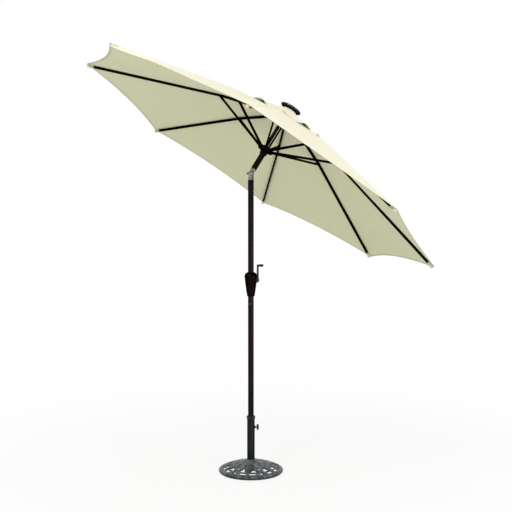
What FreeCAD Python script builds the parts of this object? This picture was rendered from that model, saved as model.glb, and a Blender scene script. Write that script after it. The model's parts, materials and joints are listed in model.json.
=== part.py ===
import FreeCAD, Part
import math
import os
import re

import Sketcher

# A tilting patio umbrella on an openwork cast base.  The canopy is open and the mast leans towards +X.
# Millimetres and degrees.  The origin is the middle of the base's underside, with +Z up.
# What belongs to the leaning mast is drawn upright, with its zero at the tilt pivot, and then leaned over.

doc = FreeCAD.newDocument("patio_umbrella")
sheet = doc.addObject("Spreadsheet::Sheet", "Dims")

SIZES = {
    # weighted base
    "plate_radius": (216, "outer radius of the cast plate"),
    "rim_height": (14, "widest part of the plate's rounded edge"),
    "rim_width": (22, "solid ring at the plate's edge"),
    "rim_foot": (7, "how far the edge draws in at the floor"),
    "rim_round": (9, "how far it draws in at the dome"),
    "crown_height": (71, "height at which the dome would close"),
    "dome_radius": (465, "sphere of the plate's upper face"),
    "casting_wall": (6, "thickness of the dome"),
    "cone_foot": (62, "radius where the hub cone leaves the dome"),
    "cone_top": (86, "height of the hub cone"),
    "cone_lip": (3, "width of the cone's rim"),
    "hub_radius": (42, "boss under the dome"),
    "hub_floor": (12, "underside of the boss"),
    "seat_height": (22, "where the base tube stands in the boss"),
    "tube_dia": (51, "base tube, outside"),
    "tube_wall": (2, "base tube, wall"),
    "tube_top": (376, "top of the base tube"),
    "plug_thick": (12, "disc in the foot of the base tube"),
    "bolt_dia": (12, "bolt that holds the tube on the plate"),
    "bolt_corner": (11, "corners of its head"),
    "bolt_head_thick": (8, "its head"),
    "bolt_short": (2, "its end, below the disc's top"),
    # openwork of the plate, as radii and angles from a main spoke
    "leaf_inner": (119, "inner corner of a leaf"),
    "leaf_outer": (167, "outer corners of a leaf"),
    "leaf_middle": (14, "angle of the inner corner"),
    "leaf_near": (3.6, "angle of the corner by the spoke"),
    "leaf_far": (24, "angle of the far corner"),
    "leaf_curve": (75, "radius of the leaf's hollow sides"),
    "slot_inner": (171, "inner side of a rim slot"),
    "slot_outer": (191, "outer side of a rim slot"),
    "slot_start": (3.5, "angle where a rim slot starts"),
    "slot_end": (17, "angle where a rim slot ends"),
    "tri_inner": (159, "inner corner of a three-cornered hole"),
    "tri_outer": (191, "outer corners of a three-cornered hole"),
    "tri_half": (8, "half angle of a three-cornered hole"),
    "tri_curve": (30, "radius of its hollow sides"),
    "eye_radius": (9.5, "round hole between two leaves"),
    "eye_place": (133, "how far out the round hole lies"),
    "drop_radius": (8, "round end of a drop-shaped hole"),
    "drop_outer": (99, "how far out its round end lies"),
    "drop_inner": (70, "how far out its point lies"),
    "drop_flatter": (1.02, "arc of the round end, over its radius"),
    "drop_angle": (15, "angle of a drop from the spoke"),
    "spokes": (6, "main spokes"),
    "spoke_turned": (6.3, "heading of the first main spoke"),
    # sleeve and clamp
    "sleeve_length": (120, "how far the sleeve reaches down"),
    "collar_dia": (58, "rim of the sleeve, over the tube's end"),
    "collar_skirt": (14, "how far the rim covers the tube"),
    "collar_lip": (4, "rim above the tube"),
    "knob_height": (303, "height of the clamp screw"),
    "knob_turned": (-16, "heading of the clamp screw"),
    "knob_radius": (20.5, "clamp knob"),
    "knob_thick": (14, "clamp knob, along its screw"),
    "knob_crown": (8, "rise of the knob's face"),
    "knob_standoff": (13.5, "from the tube to the knob"),
    "knob_neck": (2, "neck behind the knob"),
    "knob_hollow": (4, "hollow of its back"),
    "knob_shoulder": (4, "shoulder of its face, in from the rim"),
    "knob_flat": (9, "flat of its face, in from the rim"),
    "lobes": (6, "hollows round the knob"),
    "lobe_out": (5, "middle of a hollow, beyond the rim"),
    "lobe_radius": (8, "radius of a hollow"),
    "screw_dia": (8, "clamp screw"),
    "nut_radius": (9, "welded nut"),
    "nut_thick": (5, "welded nut"),
    # pole
    "pole_dia": (38, "pole tubes, outside"),
    "pole_wall": (1.5, "pole tubes, wall"),
    "pole_joint": (1172, "where the two lower tubes meet"),
    "spigot_length": (160, "how far the middle tube reaches down"),
    "neck_length": (4, "where the middle tube's bore narrows"),
    "snap_below": (35, "snap button, under the joint of the two lower tubes"),
    "snap_turned": (-120, "heading of the snap button"),
    "snap_dia": (8, "snap button"),
    "snap_stand": (4, "how far the snap button stands out"),
    "snap_inside": (3, "how far it reaches in past the tubes"),
    # crank
    "crank_height": (1297, "crank shaft"),
    "crank_turned": (-38, "heading of the crank shaft"),
    "case_below": (110, "lower end of the crank case, under the shaft"),
    "case_above": (50, "upper end of the crank case, above the shaft"),
    "case_foot": (25, "radius at its lower end"),
    "case_neck": (22, "radius at its upper end"),
    "case_lip": (8, "height of its straight foot"),
    "case_floor": (10, "thickness of its foot"),
    "case_radius": (41, "widest radius"),
    "case_widest": (11, "its widest part, above the shaft"),
    "case_sweep": (1500, "radius of the lower flank"),
    "case_shoulder": (30, "radius of the upper flank"),
    "case_wall": (3, "wall of the case"),
    "case_boss": (19, "radius of the shaft's boss"),
    "boss_face": (44, "face of the boss, from the pole's middle"),
    "boss_root": (8, "how deep the boss is rooted in the case"),
    "shaft_dia": (12, "crank shaft"),
    "drum_radius": (12, "drum that winds the cord"),
    "drum_flange": (15.2, "flanges of the drum"),
    "drum_lip": (1.5, "thickness of the flanges"),
    "drum_half": (6.5, "half length of the drum"),
    "arm_length": (97, "crank arm, from shaft to grip"),
    "arm_thick": (9, "crank arm"),
    "arm_gap": (0.4, "between boss and arm"),
    "hub_stand": (1, "hub of the arm, above the arm"),
    "arm_root": (8.5, "half width of the arm at its hub"),
    "arm_end": (6.5, "half width of the arm at the grip"),
    "arm_hub": (14.5, "hub of the crank arm"),
    "grip_length": (35, "crank grip"),
    "grip_radius": (9, "crank grip"),
    "grip_taper": (1.5, "how far its foot draws in"),
    "grip_round": (5, "rounding of its end"),
    "grip_pin": (6, "pin in the crank grip"),
    "pin_short": (3, "end of the pin, below the grip's end"),
    "pin_room": (0.2, "room over the pin's end"),
    "screw_shank": (3.5, "case screws"),
    "screw_head": (6.4, "case screws, head"),
    "screw_out": (24.5, "case screws, from the pole's middle"),
    "screw_seat": (12, "under the screw heads, from the split"),
    "screw_low": (57, "lower case screws, under the shaft"),
    "post_low": (16, "length of the lower screws' posts"),
    "post_high": (26, "length of the upper screws' posts"),
    "post_wall": (1.4, "posts round the screw heads"),
    "screw_high": (30, "upper case screws, above the shaft"),
    "screw_bite": (11, "how far they reach into the front half"),
    "screw_head_thick": (2.4, "case screws, head"),
    # tilt joint
    "pivot_height": (2001, "tilt pivot"),
    "lean": (32.84, "lean of the mast"),
    "lower_reach": (42, "tilt pivot above the middle tube"),
    "upper_reach": (35, "tilt pivot to the mast tube"),
    "spigot_reach": (38, "spigots of the tilt joint"),
    "cheek_gap": (16.4, "between the two cheeks"),
    "tongue_thick": (16, "tongue between the cheeks"),
    "tongue_radius": (15, "round end of the tongue"),
    "tongue_play": (0.5, "behind the tongue"),
    "gap_floor": (4, "gap below the tongue"),
    "shoulder_low": (20.5, "underside of the upper shoulder"),
    "bolt_radius": (4, "tilt bolt"),
    "bolt_head": (7, "head of the tilt bolt"),
    "bolt_head_high": (3, "head of the tilt bolt"),
    "bolt_dome": (1.5, "how far its edge draws in"),
    "head_room": (1, "round the heads"),
    "cheek_face": (16.5, "where the bolt heads seat"),
    "button_radius": (6, "tilt button"),
    "button_out": (29, "face of the tilt button"),
    "button_in": (19, "inner end of the tilt button"),
    "button_proud": (5, "from the boss to the button's face"),
    "button_boss": (9, "boss round the tilt button"),
    "groove_wide": (7, "grooves in the fork's faces"),
    "groove_deep": (3, "grooves in the fork's faces"),
    "groove_high": (21, "upper end of the grooves, under the pivot"),
    "groove_low": (39, "lower end of the grooves, under the pivot"),
    "stake_radius": (3, "rivets through the tilt castings"),
    "stake_stand": (0.8, "how far the rivets stand out"),
    "stake_high": (26, "upper rivet, under the pivot"),
    "stake_low": (35, "lower rivet, under the pivot"),
    "stake_mast": (28.5, "rivet of the tongue, above the pivot"),
    # mast, hubs, ribs and struts; heights run along the mast from the tilt pivot
    "mast_top": (446, "upper end of the mast tube"),
    "pivot_out": (45, "hinge pins of ribs and struts, from the mast"),
    "hub_pivot": (448.3, "height of the rib pins"),
    "hub_skirt": (26, "lower end of the top hub, under its pins"),
    "hub_waist": (16, "end of the skirt, under the pins"),
    "hub_under": (11, "underside of the crown, under the pins"),
    "hub_rim": (7, "lower edge of the crown's rim, under the pins"),
    "hub_slot_low": (40, "slots cut from here up, under the pins"),
    "roof_thick": (5, "top hub, above its slots"),
    "runner_pivot": (190.5, "height of the strut pins"),
    "runner_foot": (8, "foot of the runner's cone, under its slots"),
    "runner_under": (5, "top of that cone, under the slots"),
    "runner_rim": (5, "upper edge of the runner's rim, above its pins"),
    "runner_top": (9, "top of the rim, above the pins"),
    "runner_root": (11, "root of the upper sleeve, above the pins"),
    "crown_radius": (54, "rim of top hub and runner"),
    "crown_bevel": (4, "bevel of these rims"),
    "slot_width": (9.7, "slots for ribs and struts"),
    "slot_depth": (33, "inner end of the slots, from the mast"),
    "slot_room": (2, "room for a rib or strut in its slot"),
    "hinge_pin": (4, "hinge pins"),
    "hinge_pin_length": (22, "hinge pins"),
    "ribs": (8, "ribs"),
    "rib_inner": (424, "rib, from the hub pin to the strut rivet"),
    "rib_outer": (921, "rib, from the strut rivet to the tip"),
    "slope_inner": (13.46, "slope of the inner rib"),
    "slope_outer": (17.6, "slope of the outer rib"),
    "rib_high": (17, "rib section"),
    "rib_wide": (9, "rib section"),
    "strut_high": (15, "strut section"),
    "ear_wall": (2, "ears of the strut's fork"),
    "ear_gap": (9.6, "between the ears"),
    "fork_deep": (30, "depth of the fork"),
    "fork_root": (14, "fork and bar grown together"),
    "rivet_dia": (5, "rivet of rib and strut"),
    "rivet_play": (0.9, "play of the rivet in the ears"),
    "rivet_head": (1.4, "heads of the rivet"),
    "rivet_stand": (2, "ends of the rivet, past the ears"),
    "runner_low": (150, "lower end of the runner"),
    "runner_high": (208, "upper end of the runner"),
    "runner_sleeve": (25, "radius of the runner's sleeve"),
    # canopy
    "cloth": (1.6, "canopy cloth with its hems"),
    "hem_sag": (44, "how far a hem curves inwards"),
    "hem_quarter": (0.745, "share of that at a quarter of the hem"),
    "vent_radius": (165, "opening at the canopy's top"),
    "cap_radius": (295, "vent cap, to its corners"),
    "cap_lift": (12, "corners of the vent cap above the canopy"),
    "cap_dome": (78, "radius of the raised middle"),
    "cap_foot": (478, "height where the middle rises"),
    "cap_slant": (28, "how far its side leans in"),
    "cap_shoulder": (495, "height of the shoulder of the raised middle"),
    "cap_below": (2, "top of the cap, under the solar disc"),
    "disc_radius": (73, "solar disc"),
    "disc_low": (505, "underside of the solar disc"),
    "disc_rim": (14, "height of the disc's rim"),
    "disc_draft": (6, "how far the underside draws in"),
    "disc_belly": (5, "height of its lower edge"),
    "disc_frame": (20, "frame round the flat window"),
    "disc_crown": (4, "rise of the disc's top"),
    "stud_radius": (5, "stud under the solar disc"),
    "cord_dia": (3, "lift cord"),
    "cord_out": (22.4, "lift cord, from the mast"),
    "cord_turned": (-92, "heading of the lift cord"),
    # fits
    "fit_gap": (0.1, "pieces fixed in each other"),
    "run_gap": (0.3, "pieces that slide on each other"),
    "pin_gap": (0.05, "pins in their holes"),
    "cloth_gap": (0.3, "cloth to rib, and cloth to cloth"),
    # edges and drawing
    "fine_bevel": (1, "fine bevels"),
    "bevel": (2, "bevels"),
    "broad_bevel": (3, "broad bevels"),
    "past": (5, "cuts run this far past a casting"),
    "flatter": (1.0001, "arc of a half circle, over its half width"),
}

for row, (name, (size, note)) in enumerate(SIZES.items(), 1):
    sheet.set(f"A{row}", note)
    sheet.set(f"B{row}", str(size))
    sheet.setAlias(f"B{row}", name)
doc.recompute()


def bound(formula):
    """A formula in size names, as an expression on the sheet."""
    return re.sub(r"[a-z][a-z_0-9]*", lambda m: "Dims." + m[0] if m[0] in SIZES else m[0], str(formula))


def worth(formula):
    """What a formula in size names comes to, in mm or degrees."""
    return float(sheet.evalExpression(bound(formula).replace("Dims.", "")))


# ---------------------------------------------------------------- drawing helpers

def new_body(label):
    return doc.addObject("PartDesign::Body", label)


def plane_of(body, role):
    return next(f for f in body.Origin.OriginFeatures if f.Role == role)


def new_sketch(body, role, lift=None):
    """A sketch on one of the body's own planes, lifted off it along its normal if asked."""
    sketch = body.newObject("Sketcher::SketchObject", body.Label + "_sketch")
    sketch.AttachmentSupport = [(plane_of(body, role), "")]
    sketch.MapMode = "FlatFace"
    if lift is not None:
        sketch.setExpression("AttachmentOffset.Base.z", bound(lift))
    return sketch


def fix(sketch, kind, *where, size):
    """One driving constraint, bound to the sheet."""
    index = sketch.addConstraint(Sketcher.Constraint(kind, *where, worth(size)))
    sketch.setExpression(f"Constraints[{index}]", bound(size))


def arc_between(start, end, radius, left):
    """The minor arc from start to end; left says that it bulges to the left of the way there."""
    chord = end.sub(start)
    half = chord.Length / 2
    across = FreeCAD.Vector(-chord.y, chord.x, 0).normalize()
    side = -1 if left else 1
    centre = (start + end) * 0.5 + across * (side * math.sqrt(max(radius ** 2 - half ** 2, 0)))
    first, last = (end, start) if left else (start, end)
    angles = [math.atan2(p.y - centre.y, p.x - centre.x) for p in (first, last)]
    circle = Part.Circle(centre, FreeCAD.Vector(0, 0, 1), radius)
    return Part.ArcOfCircle(circle, *angles)


def draw_outline(sketch, corners):
    """A closed outline; a corner is (x, y) or (x, y, radius, bulges_left) where an arc leaves it."""
    spots = [FreeCAD.Vector(worth(c[0]), worth(c[1]), 0) for c in corners]
    first = sketch.GeometryCount
    count = len(corners)
    ends = []
    for i, corner in enumerate(corners):
        start, end = spots[i], spots[(i + 1) % count]
        if len(corner) == 4:
            left = corner[3]
            sketch.addGeometry(arc_between(start, end, worth(corner[2]), left), False)
            ends.append((2, 1) if left else (1, 2))
        else:
            sketch.addGeometry(Part.LineSegment(start, end), False)
            ends.append((1, 2))
    for i in range(count):
        following = (i + 1) % count
        sketch.addConstraint(
            Sketcher.Constraint("Coincident", first + i, ends[i][1], first + following, ends[following][0])
        )
    for i, corner in enumerate(corners):
        fix(sketch, "DistanceX", -1, 1, first + i, ends[i][0], size=corner[0])
        fix(sketch, "DistanceY", -1, 1, first + i, ends[i][0], size=corner[1])
        if len(corner) == 4:
            fix(sketch, "Radius", first + i, size=corner[2])


def draw_circle(sketch, x, y, radius):
    index = sketch.addGeometry(
        Part.Circle(FreeCAD.Vector(worth(x), worth(y), 0), FreeCAD.Vector(0, 0, 1), worth(radius)), False
    )
    fix(sketch, "DistanceX", -1, 1, index, 3, size=x)
    fix(sketch, "DistanceY", -1, 1, index, 3, size=y)
    fix(sketch, "Radius", index, size=radius)


def turn(body, corners, about="V_Axis", angle=360, turned_back=False):
    """Revolves an outline on the body's XZ plane: (radius, height) about Z, or (x, radius) about X."""
    sketch = new_sketch(body, "XZ_Plane")
    draw_outline(sketch, corners)
    step = body.newObject("PartDesign::Revolution", body.Label + "_turned")
    step.Profile = sketch
    step.ReferenceAxis = (sketch, [about])
    step.Angle = angle
    step.Reversed = turned_back
    body.Tip = step
    return step


def pad(body, sketch, length, both_ways=False, reversed_way=False):
    step = body.newObject("PartDesign::Pad", body.Label + "_pad")
    step.Profile = sketch
    step.setExpression("Length", bound(length))
    step.SideType = "Symmetric" if both_ways else "One side"
    step.Reversed = reversed_way
    body.Tip = step
    return step


def pocket(body, sketch, length, both_ways=False, along_normal=True):
    """Cuts along the sketch's normal unless told otherwise."""
    step = body.newObject("PartDesign::Pocket", body.Label + "_pocket")
    step.Profile = sketch
    step.setExpression("Length", bound(length))
    step.SideType = "Symmetric" if both_ways else "One side"
    step.Reversed = along_normal
    body.Tip = step
    return step


def repeat_round(body, steps, count):
    pattern = body.newObject("PartDesign::PolarPattern", body.Label + "_round")
    pattern.Originals = steps
    pattern.Axis = (next(f for f in body.Origin.OriginFeatures if f.Role == "Z_Axis"), [""])
    pattern.Angle = 360
    pattern.setExpression("Occurrences", bound(count))
    body.Tip = pattern
    return pattern


def turned_piece(label, corners, about="V_Axis"):
    body = new_body(label)
    turn(body, corners, about)
    return body


def copy_of(label, original):
    """A second piece of the same make, in a body of its own."""
    twin = doc.addObject("PartDesign::Body", label)
    base = doc.addObject("PartDesign::FeatureBase", label + "_copy")
    twin.Group = [base]
    base.BaseFeature = original
    twin.Tip = base
    return twin


def heading(angle):
    return FreeCAD.Rotation(FreeCAD.Vector(0, 0, 1), angle)


def leaning(turned=0.0, offset=FreeCAD.Vector()):
    """From a piece's own upright drawing, turned about the mast, to its place on the leaning mast."""
    pivot = FreeCAD.Vector(0, 0, worth("pivot_height"))
    lean = FreeCAD.Rotation(FreeCAD.Vector(0, 1, 0), worth("lean"))
    local = FreeCAD.Placement(heading(turned).multVec(offset), heading(turned))
    return FreeCAD.Placement(pivot, lean).multiply(local)


# ---------------------------------------------------------------- weighted base

def polar(radius, angle):
    return f"({radius}) * cos({angle})", f"({radius}) * sin({angle})"


def dome_at(radius, drop="0"):
    return f"crown_height - dome_radius + sqrt((dome_radius - ({drop}))^2 - ({radius})^2)"


def make_base_plate():
    """Dished casting with a solid edge ring, a hub cone, and scrolled openings between six main spokes."""
    body = new_body("base_plate")
    edge = "plate_radius - rim_round"
    inside = "plate_radius - rim_width"
    bore = "tube_dia / 2 + fit_gap"
    turn(body, [
        ("bolt_dia / 2 + run_gap", "hub_floor"),
        ("hub_radius", "hub_floor"),
        ("hub_radius", dome_at("hub_radius", "casting_wall")),
        ("leaf_inner", dome_at("leaf_inner", "casting_wall")),
        (inside, dome_at(inside, "casting_wall")),
        (inside, "0"),
        ("plate_radius - rim_foot", "0", "rim_height", False),
        ("plate_radius", "rim_height", "rim_height", False),
        (edge, dome_at(edge), "dome_radius", False),
        ("cone_foot", dome_at("cone_foot"), "cone_foot", True),
        (f"{bore} + cone_lip", "cone_top"),
        (bore, "cone_top"),
        (bore, "seat_height"),
        ("bolt_dia / 2 + run_gap", "seat_height"),
    ])
    openings = new_sketch(body, "XY_Plane")
    for side in ("", "-"):
        inner = polar("leaf_inner", side + "leaf_middle")
        near = polar("leaf_outer", side + "leaf_near")
        far = polar("leaf_outer", side + "leaf_far")
        hollow = side == ""
        draw_outline(openings, [
            (*inner, "leaf_curve", hollow), (*near, "leaf_outer", side == "-"), (*far, "leaf_curve", hollow),
        ])
        start, end = side + "slot_start", side + "slot_end"
        draw_outline(openings, [
            polar("slot_inner", start), polar("slot_outer", start) + ("slot_outer", side == "-"),
            polar("slot_outer", end), polar("slot_inner", end) + ("slot_inner", side == ""),
        ])
        tip = polar("drop_inner", side + "drop_angle")
        wide = "asin(drop_radius / drop_outer) / (1 deg)"
        left = polar("drop_outer", f"{side}drop_angle + {wide}")
        right = polar("drop_outer", f"{side}drop_angle - {wide}")
        draw_outline(openings, [tip, (*right, "drop_radius * drop_flatter", False), left])
    middle = "180 / spokes"
    apex = polar("tri_inner", middle)
    draw_outline(openings, [
        (*apex, "tri_curve", True),
        (*polar("tri_outer", f"{middle} - tri_half"), "tri_outer", False),
        (*polar("tri_outer", f"{middle} + tri_half"), "tri_curve", True),
    ])
    draw_circle(openings, *polar("eye_place", middle), "eye_radius")
    cut = pocket(body, openings, "crown_height * 2")
    repeat_round(body, [cut], "spokes")
    body.Placement.Rotation = heading(worth("spoke_turned"))
    return body


def make_base_tube():
    """Steel tube that stands in the plate's boss, with the clamp's nut welded on at +X."""
    body = new_body("base_tube")
    turn(body, [
        ("0", "seat_height"), ("tube_dia / 2", "seat_height"), ("tube_dia / 2", "tube_top"),
        ("0", "tube_top"),
    ])
    nut = new_sketch(body, "YZ_Plane")
    draw_circle(nut, "0", "knob_height", "nut_radius")
    pad(body, nut, "tube_dia / 2 + nut_thick")
    bore = new_sketch(body, "XY_Plane")
    draw_circle(bore, "0", "0", "tube_dia / 2 - tube_wall")
    pocket(body, bore, "tube_top * 2")
    screw = new_sketch(body, "YZ_Plane")
    draw_circle(screw, "0", "knob_height", "screw_dia / 2")
    pocket(body, screw, "tube_dia")
    body.Placement.Rotation = heading(worth("knob_turned"))
    return body


def make_tube_plug():
    """Disc in the tube's foot, on which the pole stands; the base bolt screws into it."""
    radius = "tube_dia / 2 - tube_wall - fit_gap"
    top = "seat_height + plug_thick"
    return turned_piece("tube_plug", [
        ("bolt_dia / 2", "seat_height"), (radius, "seat_height"), (radius, f"{top} - fine_bevel"),
        (f"{radius} - fine_bevel", top), ("bolt_dia / 2", top),
    ])


def make_base_bolt():
    """Bolt from below, through the boss into the plug."""
    body = new_body("base_bolt")
    head = new_sketch(body, "XY_Plane", "hub_floor - bolt_head_thick")
    draw_outline(head, [polar("bolt_corner", str(angle)) for angle in range(0, 360, 60)])
    pad(body, head, "bolt_head_thick")
    shank = new_sketch(body, "XY_Plane", "hub_floor")
    draw_circle(shank, "0", "0", "bolt_dia / 2")
    pad(body, shank, "seat_height - hub_floor + plug_thick - bolt_short")
    return body


def make_pole_sleeve():
    """Plastic sleeve that centres the pole in the base tube; its rim caps the tube."""
    bore = "pole_dia / 2 + run_gap"
    inside = "tube_dia / 2 - tube_wall - run_gap"
    top = "tube_top + collar_lip"
    outside = "tube_dia / 2 + run_gap"
    return turned_piece("pole_sleeve", [
        (bore, "tube_top - sleeve_length"), (inside, "tube_top - sleeve_length"), (inside, "tube_top"),
        (outside, "tube_top"), (outside, "tube_top - collar_skirt"),
        ("collar_dia / 2", "tube_top - collar_skirt"),
        ("collar_dia / 2", f"{top} - broad_bevel"), ("collar_dia / 2 - broad_bevel", top), (bore, top),
    ])


def make_clamp_knob():
    """Screw with a lobed knob; its flat end presses on the sleeve.  Drawn along +X."""
    body = new_body("clamp_knob")
    tip = "tube_dia / 2 - tube_wall - run_gap + pin_gap"
    start = "tube_dia / 2 + knob_standoff"
    turn(body, [
        (tip, "0"), (tip, "screw_dia / 2 - pin_gap"), (f"{start} - knob_neck", "screw_dia / 2 - pin_gap"),
        (f"{start} - knob_neck", "screw_dia"), (f"{start} + knob_hollow", "screw_dia"),
        (start, "knob_radius - broad_bevel"), (f"{start} + fine_bevel", "knob_radius"),
        (f"{start} + knob_thick - knob_crown", "knob_radius"),
        (f"{start} + knob_thick - bevel", "knob_radius - knob_shoulder"),
        (f"{start} + knob_thick", "knob_radius - knob_flat"), (f"{start} + knob_thick", "0"),
    ], about="H_Axis")
    lobes = new_sketch(body, "YZ_Plane", "tube_dia / 2 + knob_standoff - knob_neck / 2")
    for i in range(round(worth("lobes"))):
        draw_circle(lobes, *polar("knob_radius + lobe_out", f"360 / lobes * {i}"), "lobe_radius")
    pocket(body, lobes, "knob_thick + knob_hollow")
    body.Placement = FreeCAD.Placement(
        FreeCAD.Vector(0, 0, worth("knob_height")), heading(worth("knob_turned"))
    )
    return body


# ---------------------------------------------------------------- lower pole

POLE_FOOT = "seat_height + plug_thick"
SNAP_HEIGHT = "(pole_joint - snap_below)"


def bore_along_x(body, height, radius, length="pole_dia"):
    hole = new_sketch(body, "YZ_Plane")
    draw_circle(hole, "0", height, radius)
    return pocket(body, hole, length)


def make_lower_pole():
    """Lower steel tube, with the hole that the snap button clicks into; drawn with the hole at +X."""
    bore = "pole_dia / 2 - pole_wall"
    body = turned_piece("lower_pole", [
        (bore, POLE_FOOT), ("pole_dia / 2", POLE_FOOT), ("pole_dia / 2", "pole_joint"), (bore, "pole_joint"),
    ])
    bore_along_x(body, SNAP_HEIGHT, "snap_dia / 2 + pin_gap")
    body.Placement.Rotation = heading(worth("snap_turned"))
    return body


def make_mid_pole():
    """Middle steel tube: its drawn-in foot plugs into the lower tube, and the crank shaft crosses it."""
    spigot = "pole_dia / 2 - pole_wall - fit_gap"
    top = "pivot_height - lower_reach"
    body = turned_piece("mid_pole", [
        (f"{spigot} - pole_wall", "pole_joint - spigot_length"), (spigot, "pole_joint - spigot_length"),
        (spigot, "pole_joint"), ("pole_dia / 2", "pole_joint"), ("pole_dia / 2", f"{top} - fine_bevel"),
        ("pole_dia / 2 - fine_bevel", top), ("pole_dia / 2 - pole_wall", top),
        ("pole_dia / 2 - pole_wall", "pole_joint + neck_length"), (f"{spigot} - pole_wall", "pole_joint"),
    ])
    bore_along_x(body, "crank_height", "shaft_dia / 2 + run_gap")
    snap = new_sketch(body, "YZ_Plane")
    swing = "snap_turned - crank_turned"
    upright = FreeCAD.Vector(0, 1, 0)
    snap.AttachmentOffset = FreeCAD.Placement(FreeCAD.Vector(), FreeCAD.Rotation(upright, worth(swing)))
    snap.setExpression("AttachmentOffset.Rotation.Angle", bound(swing))
    draw_circle(snap, "0", SNAP_HEIGHT, "snap_dia / 2 + pin_gap")
    pocket(body, snap, "pole_dia")
    body.Placement.Rotation = heading(worth("crank_turned"))
    return body


def make_snap_button():
    """Round-nosed button that locks the two tubes; drawn along +X."""
    face = "pole_dia / 2 + snap_stand"
    inner = "pole_dia / 2 - pole_wall * 2 - snap_inside"
    body = turned_piece("snap_button", [
        (inner, "0"), (inner, "snap_dia / 2"),
        (f"{face} - bevel", "snap_dia / 2", "snap_dia / 2 + fine_bevel", True),
        (face, "0"),
    ], about="H_Axis")
    body.Placement = FreeCAD.Placement(
        FreeCAD.Vector(0, 0, worth(SNAP_HEIGHT)), heading(worth("snap_turned"))
    )
    return body


# ---------------------------------------------------------------- crank

SCREWS = [(f"{side}screw_out", height) for side in ("", "-") for height in (
    "(crank_height - screw_low)", "(crank_height + screw_high)",
)]


def make_case_half(label, front):
    """One half of the moulded crank case, split through the shaft; drawn with the shaft along +X."""
    body = new_body(label)
    inner = "pole_dia / 2 + fit_gap"
    bottom, top = "crank_height - case_below", "crank_height + case_above"
    widest = "crank_height + case_widest"
    turn(body, [
        (inner, bottom), ("case_foot", bottom),
        ("case_foot + fine_bevel", f"{bottom} + case_lip", "case_sweep", False),
        ("case_radius", widest, "case_shoulder", False), ("case_neck", top),
        (inner, top), (inner, f"{top} - case_wall"), ("case_neck", f"{top} - case_wall"),
        ("case_radius - case_wall * 2", f"{top} - case_wall * 4"), ("case_radius - case_wall", widest),
        ("case_foot + fine_bevel - case_wall", f"{bottom} + case_floor"),
        (inner, f"{bottom} + case_floor"),
    ], angle=180, turned_back=front)
    boss = new_sketch(body, "YZ_Plane", "case_radius - boss_root")
    lower, upper = "crank_height - case_boss", "crank_height + case_boss"
    start, side, end = (upper, "-case_boss", lower) if front else (lower, "case_boss", upper)
    draw_outline(boss, [
        ("0", start, "case_boss", False), (side, "crank_height", "case_boss", False), ("0", end),
    ])
    pad(body, boss, "boss_face - case_radius + boss_root")
    for x, z in SCREWS:
        post = new_sketch(body, "XZ_Plane")
        draw_circle(post, x, z, "screw_head / 2 + post_wall")
        pad(body, post, "post_low" if "screw_low" in z else "post_high", reversed_way=not front)
    bores = new_sketch(body, "XZ_Plane")
    for x, z in SCREWS:
        draw_circle(bores, x, z, "screw_shank / 2 + pin_gap")
    pocket(body, bores, "screw_bite + fine_bevel" if front else "case_radius", along_normal=front)
    if not front:
        heads = new_sketch(body, "XZ_Plane", "-screw_seat")
        for x, z in SCREWS:
            draw_circle(heads, x, z, "screw_head / 2 + pin_gap")
        pocket(body, heads, "case_radius", along_normal=False)
    shaft = new_sketch(body, "YZ_Plane")
    draw_circle(shaft, "0", "crank_height", "shaft_dia / 2 + pin_gap")
    pocket(body, shaft, "boss_face * 2")
    body.Placement.Rotation = heading(worth("crank_turned"))
    return body


def make_case_screws():
    """Four screws that draw the two halves together, from the back."""
    screws = []
    flat = FreeCAD.Rotation(FreeCAD.Vector(1, 0, 0), -90)
    for i, (x, z) in enumerate(SCREWS, 1):
        shank = doc.addObject("Part::Cylinder", f"case_screw_shank_{i}")
        shank.setExpression("Radius", bound("screw_shank / 2"))
        shank.setExpression("Height", bound("screw_seat + screw_bite"))
        shank.Placement = FreeCAD.Placement(FreeCAD.Vector(worth(x), -worth("screw_bite"), worth(z)), flat)
        head = doc.addObject("Part::Cylinder", f"case_screw_head_{i}")
        head.setExpression("Radius", bound("screw_head / 2"))
        head.setExpression("Height", bound("screw_head_thick"))
        head.Placement = FreeCAD.Placement(FreeCAD.Vector(worth(x), worth("screw_seat"), worth(z)), flat)
        screw = doc.addObject("Part::Fuse", f"case_screw_{i}")
        screw.Base, screw.Tool = shank, head
        screws.append(screw)
    group = doc.addObject("Part::Compound", "case_screws")
    group.Links = screws
    group.Placement.Rotation = heading(worth("crank_turned"))
    return group


def make_crank_shaft():
    """Shaft with the flanged drum that winds the lift cord, inside the pole; drawn along +X."""
    radius = "shaft_dia / 2"
    groove = "drum_half - drum_lip"
    body = turned_piece("crank_shaft", [
        ("-drum_half", "0"), ("-drum_half", "drum_flange"), (f"-({groove})", "drum_flange"),
        (f"-({groove})", "drum_radius"), (groove, "drum_radius"), (groove, "drum_flange"),
        ("drum_half", "drum_flange"), ("drum_half", radius), ("boss_face + arm_gap", radius),
        ("boss_face + arm_gap", "0"),
    ], about="H_Axis")
    body.Placement = FreeCAD.Placement(
        FreeCAD.Vector(0, 0, worth("crank_height")), heading(worth("crank_turned"))
    )
    return body


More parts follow.
